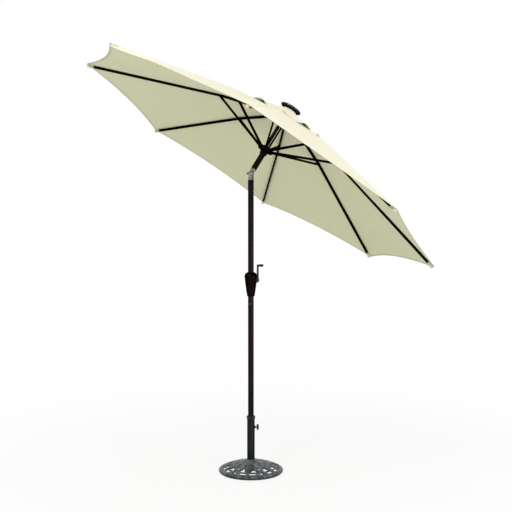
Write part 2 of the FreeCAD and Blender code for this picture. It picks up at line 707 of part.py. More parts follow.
def make_crank_handle():
    """Flat arm on the shaft's end, with the pin that the grip turns on; drawn along +X, arm upwards."""
    body = new_body("crank_handle")
    face = "boss_face + arm_gap"
    hub = new_sketch(body, "YZ_Plane", face)
    draw_circle(hub, "0", "0", "arm_hub")
    pad(body, hub, "arm_thick + hub_stand")
    arm = new_sketch(body, "YZ_Plane", face)
    draw_outline(arm, [
        ("-arm_root", "0"), ("arm_root", "0"), ("arm_end", "arm_length", "arm_end * flatter", False),
        ("-arm_end", "arm_length"),
    ])
    pad(body, arm, "arm_thick")
    pin = new_sketch(body, "YZ_Plane", face)
    draw_circle(pin, "0", "arm_length", "grip_pin / 2")
    pad(body, pin, "arm_thick + grip_length - pin_short")
    body.Placement = FreeCAD.Placement(
        FreeCAD.Vector(0, 0, worth("crank_height")), heading(worth("crank_turned"))
    )
    return body


def make_crank_grip():
    """Turned grip, free to spin on its pin; drawn along +X."""
    start = "boss_face + arm_gap + arm_thick + run_gap"
    end = f"{start} + grip_length"
    bore = "grip_pin / 2 + pin_gap"
    body = turned_piece("crank_grip", [
        (start, bore), (start, "grip_radius - bevel"),
        (f"{start} + broad_bevel", "grip_radius - grip_taper"),
        (f"{start} + grip_length / 2", "grip_radius"),
        (f"{end} - grip_round", "grip_radius - grip_taper / 3"),
        (f"{end} - bevel", "grip_radius - bevel"),
        (end, "grip_radius - grip_round"), (end, "0"),
        (f"{end} - pin_short + pin_room", "0"), (f"{end} - pin_short + pin_room", bore),
    ], about="H_Axis")
    body.Placement = FreeCAD.Placement(
        FreeCAD.Vector(0, 0, worth("crank_height + arm_length")), heading(worth("crank_turned"))
    )
    return body


# ---------------------------------------------------------------- tilt joint

def stake_through(body, height):
    """Rivet across a casting, along Y."""
    stake = new_sketch(body, "XZ_Plane")
    draw_circle(stake, "0", height, "stake_radius")
    pad(body, stake, "pole_dia + stake_stand * 2", both_ways=True)


def make_tilt_lower():
    """Die-cast fork in the middle tube's top; a web behind the tongue holds the push button."""
    body = new_body("tilt_lower")
    pole = "pole_dia / 2"
    shank = f"{pole} - pole_wall - fit_gap"
    turn(body, [
        ("0", "-lower_reach - spigot_reach"), (shank, "-lower_reach - spigot_reach"),
        (shank, "-lower_reach"),
        (pole, "-lower_reach"), (pole, "0", pole, False), ("0", pole),
    ])
    boss = new_sketch(body, "YZ_Plane")
    draw_circle(boss, "0", "0", "button_boss")
    pad(body, boss, "button_out - button_proud", reversed_way=True)
    gap = new_sketch(body, "XZ_Plane")
    back, floor = "-tongue_radius - tongue_play", "-tongue_radius - gap_floor"
    draw_outline(gap, [
        (back, floor), (f"{pole} + past", floor), (f"{pole} + past", f"{pole} + past"),
        (back, f"{pole} + past"),
    ])
    pocket(body, gap, "cheek_gap", both_ways=True)
    for sign in ("", "-"):
        seat = new_sketch(body, "XZ_Plane", f"{sign}cheek_face")
        draw_circle(seat, "0", "0", "bolt_head + head_room")
        pocket(body, seat, "past * 2", along_normal=sign == "")
    pin = new_sketch(body, "XZ_Plane")
    draw_circle(pin, "0", "0", "bolt_radius")
    pocket(body, pin, "pole_dia * 2", both_ways=True)
    button = new_sketch(body, "YZ_Plane")
    draw_circle(button, "0", "0", "button_radius + pin_gap")
    pocket(body, button, "button_out * 2", along_normal=False)
    half = "groove_wide / 2"
    for sign in ("", "-"):
        groove = new_sketch(body, "XZ_Plane", f"{sign}({pole} - groove_deep)")
        draw_outline(groove, [
            (f"-{half}", "-groove_low"), (half, "-groove_low"),
            (half, "-groove_high"), (f"-{half}", "-groove_high"),
        ])
        pocket(body, groove, "groove_deep * 2", along_normal=sign == "")
    for place in ("-stake_high", "-stake_low"):
        stake_through(body, place)
    body.Placement.Base = FreeCAD.Vector(0, 0, worth("pivot_height"))
    return body


def make_tilt_bolt():
    """Bolt and domed nut through both cheeks; the mast turns about it."""
    face, end = "cheek_face", "cheek_face + bolt_head_high"
    body = new_body("tilt_bolt")
    sketch = new_sketch(body, "YZ_Plane")
    draw_outline(sketch, [
        (f"-({end})", "0"), (f"-({end}) + fine_bevel", "bolt_head - bolt_dome"),
        (f"-({face})", "bolt_head"), (f"-({face})", "bolt_radius"),
        (face, "bolt_radius"), (face, "bolt_head"),
        (f"{end} - fine_bevel", "bolt_head - bolt_dome"), (end, "0"),
    ])
    step = body.newObject("PartDesign::Revolution", "tilt_bolt_turned")
    step.Profile = sketch
    step.ReferenceAxis = (sketch, ["H_Axis"])
    body.Tip = step
    body.Placement.Base = FreeCAD.Vector(0, 0, worth("pivot_height"))
    return body


def make_tilt_button():
    """Push button that frees the tilt; it slides in towards +X."""
    body = turned_piece("tilt_button", [
        ("-button_out", "0"), ("-button_out + bevel", "button_radius - fine_bevel"),
        ("-button_out + broad_bevel", "button_radius"),
        ("-button_in", "button_radius"), ("-button_in", "0"),
    ], about="H_Axis")
    body.Placement.Base = FreeCAD.Vector(0, 0, worth("pivot_height"))
    return body


def make_tilt_upper():
    """Die-cast tongue that turns in the fork, with a shoulder and spigot for the mast tube."""
    body = new_body("tilt_upper")
    pole = "pole_dia / 2"
    shank = f"{pole} - pole_wall - fit_gap"
    turn(body, [
        ("0", "shoulder_low"), (f"{pole} - bevel", "shoulder_low"), (pole, "shoulder_low + bevel"),
        (pole, "upper_reach"),
        (shank, "upper_reach"), (shank, "upper_reach + spigot_reach"), ("0", "upper_reach + spigot_reach"),
    ])
    tongue = new_sketch(body, "XZ_Plane")
    draw_outline(tongue, [
        ("-tongue_radius", "0", "tongue_radius * flatter", False), ("tongue_radius", "0"),
        ("tongue_radius", "shoulder_low + broad_bevel"), ("-tongue_radius", "shoulder_low + broad_bevel"),
    ])
    pad(body, tongue, "tongue_thick", both_ways=True)
    pin = new_sketch(body, "XZ_Plane")
    draw_circle(pin, "0", "0", "bolt_radius + pin_gap")
    pocket(body, pin, "pole_dia", both_ways=True)
    stake_through(body, "stake_mast")
    body.Placement = leaning()
    return body


# ---------------------------------------------------------------- mast, top hub and runner

def make_upper_pole():
    bore = "pole_dia / 2 - pole_wall"
    body = turned_piece("upper_pole", [
        (bore, "upper_reach"), ("pole_dia / 2", "upper_reach"), ("pole_dia / 2", "mast_top"),
        (bore, "mast_top"),
    ])
    body.Placement = leaning()
    return body


def slotted_hub(label, outline, slot_low, slot_high, pin_height):
    """A turned hub with a radial slot and a cross hole for each hinge pin."""
    body = new_body(label)
    turn(body, outline)
    slot = new_sketch(body, "YZ_Plane", "slot_depth")
    draw_outline(slot, [
        ("-slot_width / 2", slot_low), ("slot_width / 2", slot_low), ("slot_width / 2", slot_high),
        ("-slot_width / 2", slot_high),
    ])
    cut = pocket(body, slot, "crown_radius")
    hole = new_sketch(body, "XZ_Plane")
    draw_circle(hole, "pivot_out", pin_height, "hinge_pin / 2")
    cross = pocket(body, hole, "hinge_pin_length", both_ways=True)
    repeat_round(body, [cut, cross], "ribs")
    body.Placement = leaning(180 / worth("ribs"))
    return body


HUB_FOOT = "hub_pivot - hub_skirt"


def make_top_hub():
    """Cast crown on the mast's end; its slots are open below, so that the ribs can fold down."""
    roof = "hub_pivot + rib_high / 2 + slot_room"
    top = f"{roof} + roof_thick"
    bore = "pole_dia / 2 + fit_gap"
    return slotted_hub("top_hub", [
        ("stud_radius", "mast_top"), (bore, "mast_top"), (bore, HUB_FOOT),
        ("runner_sleeve - fine_bevel", HUB_FOOT),
        ("runner_sleeve", "hub_pivot - hub_waist"), ("crown_radius - crown_bevel", "hub_pivot - hub_under"),
        ("crown_radius", "hub_pivot - hub_rim"), ("crown_radius", f"{top} - broad_bevel"),
        ("crown_radius - crown_bevel", top), ("stud_radius", top),
    ], "hub_pivot - hub_slot_low", roof, "hub_pivot")


def make_runner():
    """Runner that slides on the mast; its slots are open above, so that the struts can rise."""
    floor = "runner_pivot - strut_high / 2 - slot_room"
    bore = "pole_dia / 2 + run_gap"
    return slotted_hub("runner", [
        (bore, "runner_low"), ("runner_sleeve - bevel", "runner_low"),
        ("runner_sleeve", "runner_low + broad_bevel"), ("runner_sleeve", f"{floor} - runner_foot"),
        ("crown_radius - crown_bevel", f"{floor} - runner_under"), ("crown_radius", f"{floor} - fine_bevel"),
        ("crown_radius", "runner_pivot + runner_rim"),
        ("crown_radius - crown_bevel", "runner_pivot + runner_top"),
        ("runner_sleeve + broad_bevel", "runner_pivot + runner_root"),
        ("runner_sleeve + fine_bevel", "runner_high"), (bore, "runner_high"),
    ], floor, "runner_high + past", "runner_pivot")


def make_pins(label, height):
    """One hinge pin in each slot."""
    pins = []
    for i in range(round(worth("ribs"))):
        pin = doc.addObject("Part::Cylinder", f"{label}_{i + 1}")
        pin.setExpression("Radius", bound("hinge_pin / 2"))
        pin.setExpression("Height", bound("hinge_pin_length"))
        round_mast = heading(360 / worth("ribs") * (i + 0.5))
        across = FreeCAD.Rotation(FreeCAD.Vector(1, 0, 0), -90)
        start = FreeCAD.Vector(worth("pivot_out"), -worth("hinge_pin_length") / 2, worth(height))
        pin.Placement = FreeCAD.Placement(round_mast.multVec(start), round_mast.multiply(across))
        pins.append(pin)
    group = doc.addObject("Part::Compound", label)
    group.Links = pins
    group.Placement = leaning()
    return group


# ---------------------------------------------------------------- ribs and struts

RIVET_OUT = "(pivot_out + rib_inner * cos(slope_inner))"
RIVET_HEIGHT = "(hub_pivot - rib_inner * sin(slope_inner))"
STRUT_RISE = f"({RIVET_HEIGHT} - runner_pivot)"
STRUT_RUN = f"({RIVET_OUT} - pivot_out)"
STRUT_LENGTH = f"sqrt({STRUT_RISE}^2 + {STRUT_RUN}^2)"


def make_rib(label):
    """Bar that bends down at the strut's rivet; drawn in the XZ plane from its hub pin."""
    body = new_body(label)
    knee_x, knee_z = "rib_inner * cos(slope_inner)", "-rib_inner * sin(slope_inner)"
    tip_x = f"{knee_x} + rib_outer * cos(slope_outer)"
    tip_z = f"{knee_z} - rib_outer * sin(slope_outer)"
    half = "rib_high / 2"
    bend = "(slope_inner + slope_outer) / 2"
    mitre = f"{half} / cos((slope_outer - slope_inner) / 2)"
    side = new_sketch(body, "XZ_Plane")
    draw_outline(side, [
        (f"-{half} * sin(slope_inner)", f"-{half} * cos(slope_inner)"),
        (f"{knee_x} - {mitre} * sin({bend})", f"{knee_z} - {mitre} * cos({bend})"),
        (f"{tip_x} - {half} * sin(slope_outer)", f"{tip_z} - {half} * cos(slope_outer)"),
        (f"{tip_x} + {half} * sin(slope_outer)", f"{tip_z} + {half} * cos(slope_outer)"),
        (f"{knee_x} + {mitre} * sin({bend})", f"{knee_z} + {mitre} * cos({bend})"),
        (f"{half} * sin(slope_inner)", f"{half} * cos(slope_inner)", f"{half} * flatter", False),
    ])
    pad(body, side, "rib_wide", both_ways=True)
    rivet = new_sketch(body, "XZ_Plane")
    draw_circle(rivet, knee_x, knee_z, "rivet_dia / 2")
    pad(body, rivet, "ear_gap + ear_wall * 2 + rivet_stand * 2", both_ways=True)
    for sign in ("", "-"):
        head = new_sketch(body, "XZ_Plane", f"{sign}(ear_gap / 2 + ear_wall + run_gap)")
        draw_circle(head, knee_x, knee_z, "rivet_dia")
        pad(body, head, "rivet_head", reversed_way=sign == "-")
    eye = new_sketch(body, "XZ_Plane")
    draw_circle(eye, "0", "0", "hinge_pin / 2 + pin_gap")
    pocket(body, eye, "rib_wide * 2", both_ways=True)
    return body


def make_strut(label):
    """Bar from the runner's pin to a fork round the rib; drawn along +X from the runner's pin."""
    body = new_body(label)
    half = "strut_high / 2"
    fork_start = f"{STRUT_LENGTH} - fork_deep"
    bar = new_sketch(body, "XZ_Plane")
    draw_outline(bar, [
        ("0", f"-{half}"), (fork_start, f"-{half}"), (fork_start, half),
        ("0", half, f"{half} * flatter", False),
    ])
    pad(body, bar, "rib_wide", both_ways=True)
    fork = new_sketch(body, "XZ_Plane")
    draw_outline(fork, [
        (f"{fork_start} - fork_root", f"-{half}"), (STRUT_LENGTH, f"-{half}", f"{half} * flatter", False),
        (STRUT_LENGTH, half), (f"{fork_start} - fork_root", half),
    ])
    pad(body, fork, "ear_gap + ear_wall * 2", both_ways=True)
    gap = new_sketch(body, "XZ_Plane")
    draw_outline(gap, [
        (fork_start, "-strut_high"), (f"{STRUT_LENGTH} + strut_high", "-strut_high"),
        (f"{STRUT_LENGTH} + strut_high", "strut_high"), (fork_start, "strut_high"),
    ])
    pocket(body, gap, "ear_gap", both_ways=True)
    holes = new_sketch(body, "XZ_Plane")
    draw_circle(holes, "0", "0", "hinge_pin / 2 + pin_gap")
    draw_circle(holes, STRUT_LENGTH, "0", "rivet_dia / 2 + rivet_play")
    pocket(body, holes, "rib_wide * 4", both_ways=True)
    return body


# ---------------------------------------------------------------- canopy

def new_feature(label, shape, placement):
    feature = doc.addObject("Part::Feature", label)
    feature.Shape = shape
    feature.Placement = placement
    return feature


def cloth_line():
    """The cloth's underside along a rib, as (radius, height) at the vent, the knee and the tip."""
    lift = worth("rib_high / 2 + cloth_gap + rib_wide / 2 * tan(180 / ribs) * tan(slope_outer)")
    inner, outer = math.radians(worth("slope_inner")), math.radians(worth("slope_outer"))
    knee = worth(RIVET_OUT), worth(RIVET_HEIGHT)
    bend = (inner + outer) / 2
    mitre = lift / math.cos((outer - inner) / 2)
    knee_top = knee[0] + mitre * math.sin(bend), knee[1] + mitre * math.cos(bend)
    vent = worth("vent_radius")
    vent_top = vent, knee_top[1] + (knee_top[0] - vent) * math.tan(inner)
    reach = worth("rib_outer")
    tip = (knee_top[0] + reach * math.cos(outer), knee_top[1] - reach * math.sin(outer))
    return vent_top, knee_top, tip


def canopy_piece():
    """Two half gores, from one rib to the middle of the gore on either side; drawn with the rib at +X."""
    half_gore = math.pi / worth("ribs")
    vent, knee, tip = cloth_line()
    thick = FreeCAD.Vector(0, 0, worth("cloth"))
    gap = worth("cloth_gap") / 2

    def spot(line, side, share):
        """A point at this share of the way from the rib to the middle of the gore."""
        towards = FreeCAD.Vector(math.cos(half_gore), side * math.sin(half_gore), 0)
        middle = towards * (line[0] * math.cos(half_gore))
        rib = FreeCAD.Vector(line[0], 0, 0)
        end = middle + FreeCAD.Vector(math.sin(half_gore), -side * math.cos(half_gore), 0) * gap
        return rib + (end - rib) * share + FreeCAD.Vector(0, 0, line[1])

    slope = (knee[1] - tip[1]) / (tip[0] - knee[0])
    panels = []
    for side in (1, -1):
        inner = Part.Face(Part.makePolygon([
            spot(vent, side, 0), spot(knee, side, 0), spot(knee, side, 1), spot(vent, side, 1),
            spot(vent, side, 0),
        ]))
        inward = FreeCAD.Vector(
            -math.cos(half_gore), -side * math.sin(half_gore), slope / math.cos(half_gore)
        )
        sag = worth("hem_sag")
        hem_middle = spot(tip, side, 1) + inward * sag
        hem_quarter = spot(tip, side, 0.5) + inward * (sag * worth("hem_quarter"))
        hem = Part.Arc(hem_middle, hem_quarter, spot(tip, side, 0)).toShape()
        outer = Part.Face(Part.Wire([
            Part.makeLine(spot(tip, side, 0), spot(knee, side, 0)),
            Part.makeLine(spot(knee, side, 0), spot(knee, side, 1)),
            Part.makeLine(spot(knee, side, 1), hem_middle), hem,
        ]))
        panels += [inner.extrude(thick), outer.extrude(thick)]
    return panels[0].fuse(panels[1:]).removeSplitter()


def make_vent_cap(label):
    """Eight-cornered cap over the vent, raised in the middle to meet the solar disc."""
    corners = round(worth("ribs"))
    vent, knee, _ = cloth_line()
    reach = worth("cap_radius")
    rim = vent[1] - (reach - vent[0]) * (vent[1] - knee[1]) / (knee[0] - vent[0]) + worth("cap_lift")
    steps = [
        (reach, rim), (worth("cap_dome"), worth("cap_foot")),
        (worth("cap_dome - cap_slant"), worth("cap_shoulder")),
        (worth("stud_radius + fine_bevel"), worth("disc_low - cap_below")),
    ]

    def corner(step, number):
        radius, height = step
        angle = 2 * math.pi * (number + 0.5) / corners
        return FreeCAD.Vector(radius * math.cos(angle), radius * math.sin(angle), height)

    thick = FreeCAD.Vector(0, 0, worth("cloth"))
    walls = []
    for outer, inner in zip(steps, steps[1:]):
        for i in range(corners):
            ring = [corner(outer, i), corner(outer, i + 1), corner(inner, i + 1), corner(inner, i)]
            walls.append(Part.Face(Part.makePolygon(ring + ring[:1])).extrude(thick))
    return new_feature(label, walls[0].fuse(walls[1:]).removeSplitter(), leaning())


def make_solar_disc():
    """Round housing of the solar cell, whose flat window stands a little above the rim."""
    top = "disc_low + disc_rim"
    body = turned_piece("solar_disc", [
        ("stud_radius", "disc_low"), ("disc_radius - disc_draft", "disc_low"),
        ("disc_radius", "disc_low + disc_belly"), ("disc_radius", f"{top} - broad_bevel"),
        ("disc_radius - broad_bevel", top), ("disc_radius - disc_frame", f"{top} + disc_crown"),
        ("0", f"{top} + disc_crown"), ("0", top), ("stud_radius", top),
    ])
    body.Placement = leaning()
    return body


def make_finial_stud():
    """Stud that carries the disc, screwed into the top hub."""
    body = turned_piece("finial_stud", [
        ("0", "mast_top"), ("stud_radius", "mast_top"), ("stud_radius", "disc_low + disc_rim"),
        ("0", "disc_low + disc_rim"),
    ])
    body.Placement = leaning()
    return body


def make_lift_cord():
    """Cord from the top hub to the runner, tight beside the mast."""
    cord = doc.addObject("Part::Cylinder", "lift_cord")
    cord.setExpression("Radius", bound("cord_dia / 2"))
    cord.setExpression("Height", bound(HUB_FOOT + " - runner_high"))
    foot = FreeCAD.Vector(worth("cord_out"), 0, worth("runner_high"))
    cord.Placement = leaning(worth("cord_turned"), foot)
    return cord


# ---------------------------------------------------------------- assembly

pieces = [
    make_base_plate(), make_base_tube(), make_tube_plug(), make_base_bolt(),
    make_pole_sleeve(), make_clamp_knob(),
    make_lower_pole(), make_mid_pole(), make_snap_button(),
    make_case_half("case_front", True), make_case_half("case_back", False), make_case_screws(),
    make_crank_shaft(), make_crank_handle(), make_crank_grip(),
    make_tilt_lower(), make_tilt_bolt(), make_tilt_button(), make_tilt_upper(),
    make_upper_pole(), make_top_hub(), make_pins("hub_pins", "hub_pivot"),
    make_runner(), make_pins("runner_pins", "runner_pivot"),
    make_solar_disc(), make_finial_stud(), make_lift_cord(), make_vent_cap("vent_cap"),
]

step_round = 360 / worth("ribs")
strut_angle = math.degrees(math.atan2(worth(STRUT_RISE), worth(STRUT_RUN)))
raise_strut = FreeCAD.Rotation(FreeCAD.Vector(0, 1, 0), -strut_angle)
rib_pin = FreeCAD.Vector(worth("pivot_out"), 0, worth("hub_pivot"))
strut_pin = FreeCAD.Vector(worth("pivot_out"), 0, worth("runner_pivot"))
first_rib = make_rib("rib_1")
first_strut = make_strut("strut_1")
gore = canopy_piece()
for i in range(round(worth("ribs"))):
    turned = step_round * (i + 0.5)
    rib = first_rib if i == 0 else copy_of(f"rib_{i + 1}", first_rib)
    rib.Placement = leaning(turned, rib_pin)
    strut = first_strut if i == 0 else copy_of(f"strut_{i + 1}", first_strut)
    strut.Placement = leaning(turned, strut_pin).multiply(FreeCAD.Placement(FreeCAD.Vector(), raise_strut))
    canopy = new_feature(f"canopy_{i + 1}", gore, leaning(turned))
    pieces += [rib, strut, canopy]

doc.recompute()

failed = [o.Name for o in doc.Objects if "Invalid" in o.State or "Error" in o.State]
if failed:
    raise RuntimeError("failed to build: " + ", ".join(failed))
for piece in pieces:
    if piece.Shape.isNull() or not piece.Shape.isValid():
        raise RuntimeError("no sound shape: " + piece.Label)

os.makedirs("parts", exist_ok=True)
for piece in pieces:
    piece.Shape.exportStep(f"parts/{piece.Label}.step")
    print(f"{piece.Label:14s} {len(piece.Shape.Solids)} solid(s) {piece.Shape.Volume / 1000:9.2f} cm3")
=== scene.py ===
import json
from math import atan2, cos, degrees, exp, pi, radians, sin, tan, tau

import bmesh
import bpy
from mathutils import Matrix, Vector, noise


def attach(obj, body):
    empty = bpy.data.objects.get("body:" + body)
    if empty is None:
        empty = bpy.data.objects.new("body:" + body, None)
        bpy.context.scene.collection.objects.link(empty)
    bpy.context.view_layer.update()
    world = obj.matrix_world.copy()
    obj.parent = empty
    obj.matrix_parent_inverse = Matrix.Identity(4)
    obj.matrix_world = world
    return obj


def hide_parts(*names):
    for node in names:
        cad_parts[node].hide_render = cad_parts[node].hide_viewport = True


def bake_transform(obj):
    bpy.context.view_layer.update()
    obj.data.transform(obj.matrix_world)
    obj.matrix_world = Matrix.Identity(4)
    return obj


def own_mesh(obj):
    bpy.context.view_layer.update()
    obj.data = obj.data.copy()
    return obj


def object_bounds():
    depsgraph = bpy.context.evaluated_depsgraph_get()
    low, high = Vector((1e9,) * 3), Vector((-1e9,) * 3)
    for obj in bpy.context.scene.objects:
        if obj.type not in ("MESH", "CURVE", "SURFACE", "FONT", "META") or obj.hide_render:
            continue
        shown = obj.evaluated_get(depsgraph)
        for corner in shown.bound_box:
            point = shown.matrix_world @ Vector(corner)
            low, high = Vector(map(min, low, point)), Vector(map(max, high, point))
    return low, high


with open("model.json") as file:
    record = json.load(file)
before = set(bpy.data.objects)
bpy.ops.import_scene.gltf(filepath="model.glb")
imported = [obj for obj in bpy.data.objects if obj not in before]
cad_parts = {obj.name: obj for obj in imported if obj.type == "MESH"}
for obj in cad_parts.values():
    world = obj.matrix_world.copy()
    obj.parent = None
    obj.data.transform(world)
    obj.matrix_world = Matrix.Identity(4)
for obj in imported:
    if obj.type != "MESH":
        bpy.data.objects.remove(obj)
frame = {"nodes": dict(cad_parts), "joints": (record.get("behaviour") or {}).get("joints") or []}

cad_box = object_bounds()
scene = bpy.context.scene
nodes = frame["nodes"]
joints = {joint["name"]: joint for joint in frame["joints"]}

# ------------------------------------------------------------------ studio
# A pale floor that runs out into a white room.  A large soft key light stands over the left
# shoulder, and a tall strip on the right draws one soft highlight down the poles.

WHITE = (1, 1, 1)
ROOM_LIGHT = 0.62
FLOOR_SIZE, FLOOR_BELOW = 60, 0.0005
FLOOR_PAINT = (0.9, 0.9, 0.89, 1)
GLOW_START, GLOW_REACH = 0.3, 3.5
FLOOR_GLOW_NEAR, FLOOR_GLOW_FAR = 0.80, 1.0


def placed(name, data):
    """A new object in the scene, at the origin, with this mesh, lamp or camera."""
    made = bpy.data.objects.new(name, data)
    scene.collection.objects.link(made)
    return made


def new_material(name, roughness=0.5, **sockets):
    """A material whose Principled shader has these values on its own sockets; returns it and its tree."""
    material = bpy.data.materials.new(name)
    material.use_nodes = True
    tree = material.node_tree
    shader = tree.nodes["Principled BSDF"]
    shader.inputs["Roughness"].default_value = roughness
    for socket, value in sockets.items():
        shader.inputs[socket.replace("_", " ").title().replace("Ior", "IOR")].default_value = value
    return material, tree


def add_node(tree, kind, values=None, **settings):
    """A node with its settings, and its input values or links by socket name or number."""
    made = tree.nodes.new(kind if "Node" in kind else "ShaderNode" + kind)
    for key, value in settings.items():
        setattr(made, key, value)
    for socket, value in (values or {}).items():
        if isinstance(value, bpy.types.NodeSocket):
            tree.links.new(value, made.inputs[socket])
        else:
            made.inputs[socket].default_value = value
    return made


def worked_out(tree, operation, *terms):
    """The result of a Math node on these sockets or numbers."""
    return add_node(tree, "Math", dict(enumerate(terms)), operation=operation).outputs[0]


def ranged(tree, value, start, end, low=0.0, high=1.0, **settings):
    """The value carried over from start..end to low..high."""
    ends = {0: value, 1: start, 2: end, 3: low, 4: high}
    return add_node(tree, "MapRange", ends, **settings).outputs[0]


def mixed(tree, share, first, second):
    """The first colour turned into the second by that share; each one is a socket or a colour."""
    first, second = ((*colour, 1) if isinstance(colour, tuple) else colour for colour in (first, second))
    return add_node(tree, "Mix", {0: share, 6: first, 7: second}, data_type="RGBA").outputs[2]


def object_place(tree):
    return add_node(tree, "TexCoord").outputs["Object"]


def seen_directly(tree):
    """1 for rays from the camera, reflections and glass; 0 for the light that falls on things."""
    path = add_node(tree, "LightPath").outputs
    both = worked_out(tree, "MAXIMUM", path["Is Camera Ray"], path["Is Glossy Ray"])
    return worked_out(tree, "MAXIMUM", both, path["Is Transmission Ray"])


def white_room():
    world = bpy.data.worlds.new("studio")
    world.use_nodes = True
    tree = world.node_tree
    tree.nodes.clear()
    sky = add_node(tree, "Background", {"Color": mixed(tree, seen_directly(tree), (ROOM_LIGHT,) * 3, WHITE)})
    tree.links.new(sky.outputs[0], add_node(tree, "OutputWorld").inputs[0])
    return world


def white_floor():
    """Part shaded and part glowing to the eye: it keeps a soft shadow, and far away it is plain white."""
    material, tree = new_material("studio_floor", roughness=0.9, specular_ior_level=0.1)
    paint = tree.nodes["Principled BSDF"]
    paint.inputs["Base Color"].default_value = FLOOR_PAINT
    away = add_node(tree, "VectorMath", {0: object_place(tree)}, operation="LENGTH").outputs["Value"]
    share = ranged(tree, away, GLOW_START, GLOW_REACH, FLOOR_GLOW_NEAR, FLOOR_GLOW_FAR,
                   interpolation_type="SMOOTHSTEP")
    shown = worked_out(tree, "MULTIPLY", share, seen_directly(tree))
    glow = add_node(tree, "Emission", {"Color": (*WHITE, 1), "Strength": 1.0})
    both = add_node(tree, "MixShader", {0: shown, 1: paint.outputs[0], 2: glow.outputs[0]})
    tree.links.new(both.outputs[0], tree.nodes["Material Output"].inputs["Surface"])
    mesh = bpy.data.meshes.new("floor")
    half = FLOOR_SIZE / 2
    corners = [(-half, -half, 0), (half, -half, 0), (half, half, 0), (-half, half, 0)]
    mesh.from_pydata(corners, [], [(0, 1, 2, 3)])
    mesh.materials.append(material)
    floor = placed("floor", mesh)
    floor.location.z = cad_box[0].z - FLOOR_BELOW


def soft_light(name, place, aim, watts, wide, tall=None):
    """A round lamp, or an upright strip if it has a height too."""
    lamp = bpy.data.lights.new(name, "AREA")
    lamp.shape, lamp.size, lamp.energy = "RECTANGLE" if tall else "DISK", wide, watts
    if tall:
        lamp.size_y = tall
    made = placed(name, lamp)
    made.location = place
    made.rotation_euler = (Vector(aim) - Vector(place)).to_track_quat("-Z", "Y").to_euler()


scene.world = white_room()
scene.view_settings.view_transform = "Standard"
white_floor()
soft_light("key", place=(-3.2, -3.6, 6.2), aim=(0, 0, 1.6), watts=175, wide=2.2)
soft_light("strip", place=(2.7, -5.1, 1.5), aim=(0, 0, 1.5), watts=110, wide=1.0, tall=3.0)

# ------------------------------------------------------------------ camera
# Stands at eye height, 6.5 m from the umbrella and a little to the left of square, with a longish
# lens.  It looks slightly down, so that the canopy is seen from below and the base from above.

CAMERA_DISTANCE = 6.508
CAMERA_HEIGHT = 1.917
CAMERA_HEADING = radians(16.65)
CAMERA_DROP = radians(4.06)
CAMERA_TURN = radians(0.3)
LENS, SENSOR = 69.1, 36

camera = placed("camera", bpy.data.cameras.new("camera"))
camera.data.lens, camera.data.sensor_width = LENS, SENSOR
camera.location = (-CAMERA_DISTANCE * sin(CAMERA_HEADING), -CAMERA_DISTANCE * cos(CAMERA_HEADING),
                   CAMERA_HEIGHT)
camera.rotation_euler = (pi / 2 - CAMERA_DROP, 0, -CAMERA_HEADING - CAMERA_TURN)
scene.camera = camera

# ------------------------------------------------------------------ cast base plate
# A weighted iron casting with scrolled openwork.  It is sprayed dark brown-grey with a blue-grey patina in
# patches, and its edges are rubbed bright.  Faces that don't look up, such as the sides of the openings and
# the underside of the rim, get painted shade.


def group_with(name, inputs, outputs):
    """An empty shader node group with these named sockets, and its input and output nodes."""
    group = bpy.data.node_groups.new(name, "ShaderNodeTree")
    for label, kind, value in inputs:
        socket = group.interface.new_socket(label, in_out="INPUT", socket_type="NodeSocket" + kind)
        if value is not None:
            socket.default_value = value
    for label, kind in outputs:
        group.interface.new_socket(label, in_out="OUTPUT", socket_type="NodeSocket" + kind)
    return group, group.nodes.new("NodeGroupInput"), group.nodes.new("NodeGroupOutput")


def make_surface_group():
    """Cloudy tone and fine grain in object space: Tone for colour, Height for bump."""
    group, source, result = group_with("surface_grain", [
        ("Cloud Scale", "Float", 12.0), ("Grain Scale", "Float", 400.0), ("Grain Share", "Float", 0.5),
    ], [("Tone", "Float"), ("Height", "Float")])
    place = object_place(group)
    cloud = add_node(group, "TexNoise", {"Vector": place, "Scale": source.outputs[0], "Detail": 5.0,
                                         "Roughness": 0.6})
    grain = add_node(group, "TexNoise", {"Vector": place, "Scale": source.outputs[1], "Detail": 2.0})
    tone = ranged(group, cloud.outputs[0], 0.36, 0.64)
    height = add_node(group, "Mix", {0: source.outputs[2], 2: cloud.outputs[0], 3: grain.outputs[0]},
                      data_type="FLOAT")
    group.links.new(tone, result.inputs["Tone"])
    group.links.new(height.outputs[0], result.inputs["Height"])
    return group


def make_edge_group():
    """Rounds the shading of every edge, and finds the edges where the coat is rubbed off."""
    group, source, result = group_with("worn_edges", [
        ("Width", "Float", 0.002), ("Break Up", "Float", 60.0),
    ], [("Wear", "Float"), ("Normal", "Vector")])
    rounded = add_node(group, "Bevel", {"Radius": source.outputs[0]}, samples=4)
    flat = add_node(group, "NewGeometry")
    along = add_node(group, "VectorMath", {0: rounded.outputs[0], 1: flat.outputs["Normal"]},
                     operation="DOT_PRODUCT")
    edge = ranged(group, along.outputs["Value"], 0.985, 0.90)
    patches = add_node(group, "TexNoise", {"Vector": object_place(group), "Scale": source.outputs[1],
                                           "Detail": 4.0})
    kept = ranged(group, patches.outputs[0], 0.35, 0.62)
    group.links.new(worked_out(group, "MULTIPLY", edge, kept), result.inputs["Wear"])
    group.links.new(rounded.outputs[0], result.inputs["Normal"])
    return group


surface_grain = make_surface_group()
worn_edges = make_edge_group()


